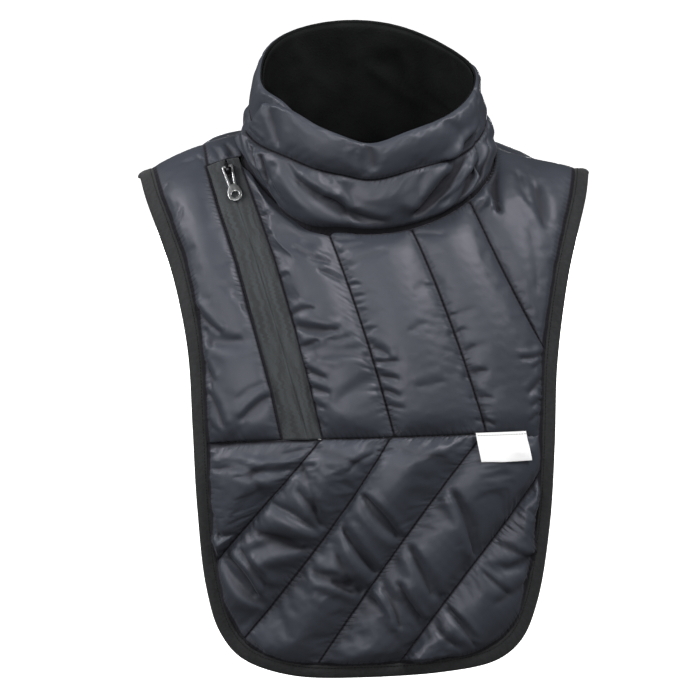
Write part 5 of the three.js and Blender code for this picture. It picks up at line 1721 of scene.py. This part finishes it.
def mixed(tree, share, low, high):
    """A colour between low and high, by a share that changes over the surface."""
    low, high = (end if isinstance(end, bpy.types.NodeSocket) else (*end, 1) for end in (low, high))
    return wire(tree, "ShaderNodeMix", {"data_type": "RGBA"}, i0=share, i6=low, i7=high).outputs[2]


def ranged(tree, value, low, high, from_low=0.3, from_high=0.7):
    ends = {"From_Min": from_low, "From_Max": from_high, "To_Min": low, "To_Max": high}
    return wire(tree, "ShaderNodeMapRange", None, Value=value, **ends).outputs[0]


def bumped(tree, height, millimetres, strength=1.0, **under):
    size = {"Distance": millimetres * MM, "Strength": strength}
    return wire(tree, "ShaderNodeBump", None, Height=height, **size, **under).outputs[0]


# %% Shared patterns
def make_weave():
    """Two sets of threads, over and under each other, with thicker and thinner ones."""
    inputs = {"Thread": 0.0005, "Uneven": 0.3, "Diagonal": 0.0}
    group, given, out = new_group("weave", inputs, ["Height", "Shade"])
    place = on_pattern(group)
    split = wire(group, "ShaderNodeSeparateXYZ", None, Vector=place).outputs
    turn = reckon(group, "DIVIDE", 2 * math.pi, given.outputs["Thread"])
    leaning = reckon(group, "MULTIPLY", split["Y"], given.outputs["Diagonal"])
    x = reckon(group, "MULTIPLY", reckon(group, "ADD", split["X"], leaning), turn)
    y = reckon(group, "MULTIPLY", split["Y"], turn)
    crossing_threads = reckon(group, "MULTIPLY", reckon(group, "SINE", x), reckon(group, "SINE", y))
    slub = noise(group, place, 900.0, 2.0)
    uneven = reckon(group, "MULTIPLY", slub, given.outputs["Uneven"])
    half = reckon(group, "MULTIPLY_ADD", crossing_threads, 0.5)
    feed(group, out, Height=reckon(group, "ADD", half, uneven), Shade=slub)
    return group


def make_crinkle():
    """Small soft creases in no order, from lumps as wide as Size to finer ones."""
    group, given, out = new_group("crinkle", {"Size": 0.012, "Sharp": 0.5}, ["Height", "Patch"])
    place = on_object(group)
    scale = reckon(group, "DIVIDE", 1.0, given.outputs["Size"])
    lumps = noise(group, place, scale, 3.0, Roughness=given.outputs["Sharp"], Distortion=0.8)
    ridge = reckon(group, "ABSOLUTE", reckon(group, "SUBTRACT", lumps, 0.5))
    wide = noise(group, place, reckon(group, "MULTIPLY", scale, 0.22), 2.0)
    feed(group, out, Height=ridge, Patch=wide)
    return group


def make_gathers():
    """Fine puckers across a seam, and painted shade in their valleys, from the notes of how far and how far
    along it a point lies.
    """
    inputs = {"Wave": 4.1, "Reach": 5.0, "Everywhere": 0.0}
    group, given, out = new_group("gathers", inputs, ["Height", "Valley"])
    near, along, phase = (read_note(group, key) for key in ("ditch", "along", "phase"))
    leaning = reckon(group, "ADD", along, reckon(group, "MULTIPLY", near, 0.4))
    turn = reckon(group, "MULTIPLY", reckon(group, "DIVIDE", leaning, given.outputs["Wave"]), math.pi)
    arch = reckon(group, "ABSOLUTE", reckon(group, "SINE", reckon(group, "ADD", turn, phase)))
    low = reckon(group, "SUBTRACT", 1.0, arch)
    ridge = reckon(group, "SUBTRACT", 1.0, reckon(group, "POWER", low, 2.0))
    share = reckon(group, "DIVIDE", near, given.outputs["Reach"])
    fades = reckon(group, "SUBTRACT", 1.0, reckon(group, "MINIMUM", share, 1.0))
    some = ranged(group, noise(group, on_object(group), 28.0, 1.0), 0.0, 1.0, 0.4, 0.62)
    some = reckon(group, "MAXIMUM", some, given.outputs["Everywhere"])
    strength = reckon(group, "MULTIPLY", fades, some)
    # Painted shade: the second output darkens the puckers' valleys, where shadow falls.
    valley = reckon(group, "MULTIPLY", reckon(group, "POWER", low, 3.0), strength)
    feed(group, out, Height=reckon(group, "MULTIPLY", ridge, strength), Valley=valley)
    return group


WEAVE, CRINKLE, GATHERS = make_weave(), make_crinkle(), make_gathers()


def new_finish(name, **numbers):
    material = bpy.data.materials.new(name)
    material.use_nodes = True
    shader = material.node_tree.nodes["Principled BSDF"]
    for key, value in numbers.items():
        shader.inputs[key.replace("_", " ")].default_value = value
    return material, material.node_tree, shader


# %% Shell nylon
def make_shell():
    material, tree, shader = new_finish(
        "shell_nylon", Sheen_Weight=0.05, Sheen_Roughness=0.4, Sheen_Tint=(0.85, 0.88, 1, 1),
        Specular_Tint=(0.93, 0.9, 1, 1))
    weave = placed(tree, WEAVE, Thread=0.00045, Uneven=0.5)
    crinkle = placed(tree, CRINKLE, Size=0.012, Sharp=0.5)
    gathers = placed(tree, GATHERS, Wave=4.1, Reach=6.0)
    # Painted shade: only the valleys of these finer puckers are used, to darken the colour where shadow
    # falls.
    fine_pucker_shade = placed(tree, GATHERS, Wave=3.3, Reach=3.4, Everywhere=1.0)
    # Painted shade: the mask below is high along the seams, the binding's border and the zip's sides, in the
    # sharp creases and in the pucker valleys, where shadow falls.
    seam = ranged(tree, read_note(tree, "ditch"), 1.0, 0.0, 0.5, 1.8)
    crease_shade = reckon(tree, "MULTIPLY", read_note(tree, "crease_shade"), 0.85)
    pucker_shade = reckon(tree, "MAXIMUM", gathers["Valley"], fine_pucker_shade["Valley"])
    ditch = reckon(tree, "MAXIMUM", seam, reckon(tree, "MAXIMUM", crease_shade, pucker_shade))
    tone = ranged(tree, crinkle["Patch"], 0.0, 1.0)
    colour = mixed(tree, tone, (0.031, 0.0355, 0.045), (0.039, 0.0445, 0.057))
    # Painted shade: the near-black colour laid over the shell by that mask.
    colour = mixed(tree, ditch, colour, (0.0012, 0.0014, 0.0028))
    rough = ranged(tree, crinkle["Patch"], 0.43, 0.53)
    dull = wire(tree, "ShaderNodeMix", None, i0=ditch, i2=rough, i3=0.95).outputs[0]
    creased = bumped(tree, crinkle["Height"], 0.28, 0.7)
    gathered = bumped(tree, gathers["Height"], 0.4, 0.9, Normal=creased)
    woven = bumped(tree, weave["Height"], 0.02, Normal=gathered)
    feed(tree, shader, Base_Color=colour, Roughness=dull, Normal=woven)
    return material


# %% Fleece, binding and tape
def make_fleece():
    material, tree, shader = new_finish("brushed_fleece", Roughness=0.95, Specular_IOR_Level=0.12)
    nap = noise(tree, on_object(tree), 700.0, 4.0)
    tufts = placed(tree, CRINKLE, Size=0.006, Sharp=0.7)
    tone = ranged(tree, tufts["Patch"], 0.0, 1.0)
    colour = mixed(tree, tone, (0.004, 0.0043, 0.0044), (0.0085, 0.009, 0.009))
    lumps = bumped(tree, tufts["Height"], 1.2, 0.8)
    feed(tree, shader, Base_Color=colour, Normal=bumped(tree, nap, 0.5, 0.9, Normal=lumps))
    return material


def make_woven(name, low, high, thread, deep, rough, sheen=0.08, diagonal=0.0, streaks=(60.0, 60.0)):
    """A matt woven band: the binding and the zip's tapes, with their own threads and colours.
    Streaks are how often its shades change across and along it: a worn tape is rubbed lengthways."""
    material, tree, shader = new_finish(name, Sheen_Weight=sheen, Sheen_Roughness=0.5)
    weave = placed(tree, WEAVE, Thread=thread, Uneven=0.8, Diagonal=diagonal)
    crinkle = placed(tree, CRINKLE, Size=0.01, Sharp=0.5)
    stretched = wire(tree, "ShaderNodeMapping", None, Vector=on_pattern(tree), Scale=(*streaks, 1))
    rubbed = reckon(tree, "MULTIPLY", noise(tree, stretched.outputs[0], 5.0, 2.0), 0.85)
    shade = reckon(tree, "MULTIPLY_ADD", weave["Shade"], 0.15, rubbed)
    colour = mixed(tree, ranged(tree, shade, 0.0, 1.0, 0.42, 0.58), low, high)
    dull = ranged(tree, crinkle["Patch"], rough - 0.06, rough + 0.06)
    soft = bumped(tree, crinkle["Height"], 0.25, 0.6)
    woven = bumped(tree, weave["Height"], deep, Normal=soft)
    feed(tree, shader, Base_Color=colour, Roughness=dull, Normal=woven)
    return material


# %% Metal, coil, tab and thread
def make_hard(name, low, high, rough_low, rough_high, grain, **numbers):
    """Cast metal or plastic: a slightly uneven surface whose gloss changes in small patches."""
    material, tree, shader = new_finish(name, **numbers)
    patches = noise(tree, on_object(tree), 350.0, 3.0)
    feed(
        tree, shader, Base_Color=mixed(tree, patches, low, high),
        Roughness=ranged(tree, patches, rough_low, rough_high), Normal=bumped(tree, patches, grain, 0.5))
    return material


shell = make_shell()
fleece = make_fleece()
binding_finish = make_woven(
    "binding_rib", (0.0088, 0.0094, 0.0104), (0.0145, 0.0152, 0.0165), 0.0009, 0.1, 0.85)
tape_finish = make_woven(
    "zip_tape_twill", (0.0165, 0.0192, 0.0215), (0.034, 0.0385, 0.042), 0.0008, 0.07, 0.8,
    diagonal=0.9, streaks=(60.0, 5.0))
tab_finish = make_woven("white_tab", (0.88, 0.88, 0.88), (0.95, 0.95, 0.95), 0.0006, 0.02, 0.75, sheen=0.0)
thread_finish = make_hard(
    "dark_thread", (0.0015, 0.0015, 0.002), (0.003, 0.003, 0.004), 0.8, 0.95, 0.05, Specular_IOR_Level=0.05)
tab_thread_finish = make_hard("grey_thread", (0.12, 0.12, 0.12), (0.2, 0.2, 0.2), 0.55, 0.7, 0.05)
coil_finish = make_hard("coil_plastic", (0.01, 0.01, 0.011), (0.016, 0.016, 0.017), 0.35, 0.5, 0.02)
slider_finish = make_hard(
    "slider_enamel", (0.02, 0.02, 0.022), (0.04, 0.04, 0.043), 0.25, 0.4, 0.03, Metallic=0.85)
pull_finish = make_hard("pull_metal", (0.36, 0.364, 0.37), (0.5, 0.505, 0.51), 0.28, 0.4, 0.03, Metallic=1.0)
print("finishes:", len(bpy.data.materials))

# %% [markdown]
# ## What each piece is
# Every piece rides on a body of the frame and stands for the solid it was made from, so the
# solid still carries the contacts while the piece carries the looks.

# %% Riding and replacing
PIECES = [
    (side_panel, "side_panel", "shell", shell), (chest_panel, "chest_panel", "shell", shell),
    (lower_panel, "lower_panel", "shell", shell), (back_panel, "back_panel", "shell", shell),
    (collar_front, "collar_front", "shell", shell), (collar_back, "collar_back", "shell", shell),
    (lining, "collar_lining", "fleece", fleece),
    (binding_front, "edge_binding_front", "binding", binding_finish),
    (binding_back, "edge_binding_back", "binding", binding_finish),
    (tape_left, "zip_tape_left", "zip_tape", tape_finish),
    (tape_right, "zip_tape_right", "zip_tape", tape_finish),
    (coil, "zip_chain", "zip_chain", coil_finish), (slider, "zip_slider", "zip_slider", slider_finish),
    (pull, "zip_pull", "zip_pull", pull_finish), (tab, "reflective_tab", "reflective_tab", tab_finish),
]
THREADS = [
    (bib_stitches, "shell", thread_finish), (zip_stitches, "shell", thread_finish),
    (collar_stitches, "shell", thread_finish), (binding_stitches, "binding", thread_finish),
    (tab_stitches, "reflective_tab", tab_thread_finish),
]


def dress(piece, slot, *finishes):
    for finish in finishes:
        piece.data.materials.append(finish)
    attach(piece, "zip_pull" if piece is pull else "garment")


for piece, node, slot, finish in PIECES:
    dress(piece, slot, *((shell, fleece) if slot == "shell" else (finish,)))
    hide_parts(node)
for piece, slot, finish in THREADS:
    dress(piece, slot, finish)

# %% How many triangles the pieces have
print("triangles in all:", sum(len(piece.data.loop_triangles) for piece, *_ in PIECES + THREADS))

# %% [markdown]
# ## The stage
# A plain pale floor, and a camera that sees the piece a little from above, from far off, so its
# sides stay parallel. A single light from above would leave the channels flat, so the main soft
# light comes from high on the right, one rakes over them from the left, one stands low in front
# and one low behind keeps the back readable. The floor glows of itself, so it stays pale all over.

# %% Floor, lights and camera
CAMERA = {"elevation": 14.0, "distance": 2200.0, "lens": 141.43, "target": (-14.4, -60.0, -137.6)}
FLOOR_Z = -620.0
LIT_PLACE = Vector((-0.014, -0.06, -0.14))


def add_floor():
    flat = bmesh.new()
    bmesh.ops.create_grid(flat, x_segments=1, y_segments=1, size=100)
    mesh = as_mesh("floor", flat)
    mesh.transform(Matrix.Translation((0, 0, FLOOR_Z * MM)))
    material, _, _ = new_finish(
        "floor", Base_Color=(0.93, 0.93, 0.93, 1), Roughness=0.9, Emission_Color=(1, 1, 1, 1),
        Emission_Strength=0.95)
    mesh.materials.append(material)
    floor = in_scene("floor", mesh)
    floor.visible_diffuse = floor.visible_glossy = False


def add_light(name, place, size, power):
    light = bpy.data.lights.new(name, "AREA")
    light.shape = "RECTANGLE"
    light.size, light.size_y = size
    light.energy = power
    lamp = in_scene(name, light)
    lamp.location = place
    lamp.rotation_euler = (LIT_PLACE - lamp.location).to_track_quat("-Z", "Y").to_euler()


add_floor()
add_light("left", (-2.4, -0.5, 1.6), (1.0, 1.0), 60)
add_light("right", (1.6, -1.2, 2.3), (1.2, 1.2), 85)
add_light("front", (-0.8, -2.8, 0.9), (1.6, 1.6), 50)
add_light("back", (0.2, 2.8, -0.25), (1.4, 0.6), 48)
world = bpy.data.worlds.new("studio")
world.use_nodes = True
background = world.node_tree.nodes["Background"]
background.inputs["Color"].default_value = (1, 1, 1, 1)
background.inputs["Strength"].default_value = 0.08
bpy.context.scene.world = world
bpy.context.scene.view_settings.view_transform = "Standard"

camera = in_scene("camera", bpy.data.cameras.new("camera"))
camera.data.sensor_width = 36
camera.data.lens = CAMERA["lens"]
tilt = math.radians(CAMERA["elevation"])
target = Vector(CAMERA["target"])
camera.location = (target + CAMERA["distance"] * Vector((0, -math.cos(tilt), math.sin(tilt)))) * MM
camera.rotation_euler = (math.pi / 2 - tilt, 0, 0)
bpy.context.scene.camera = camera
print("camera", CAMERA["distance"], "mm away")
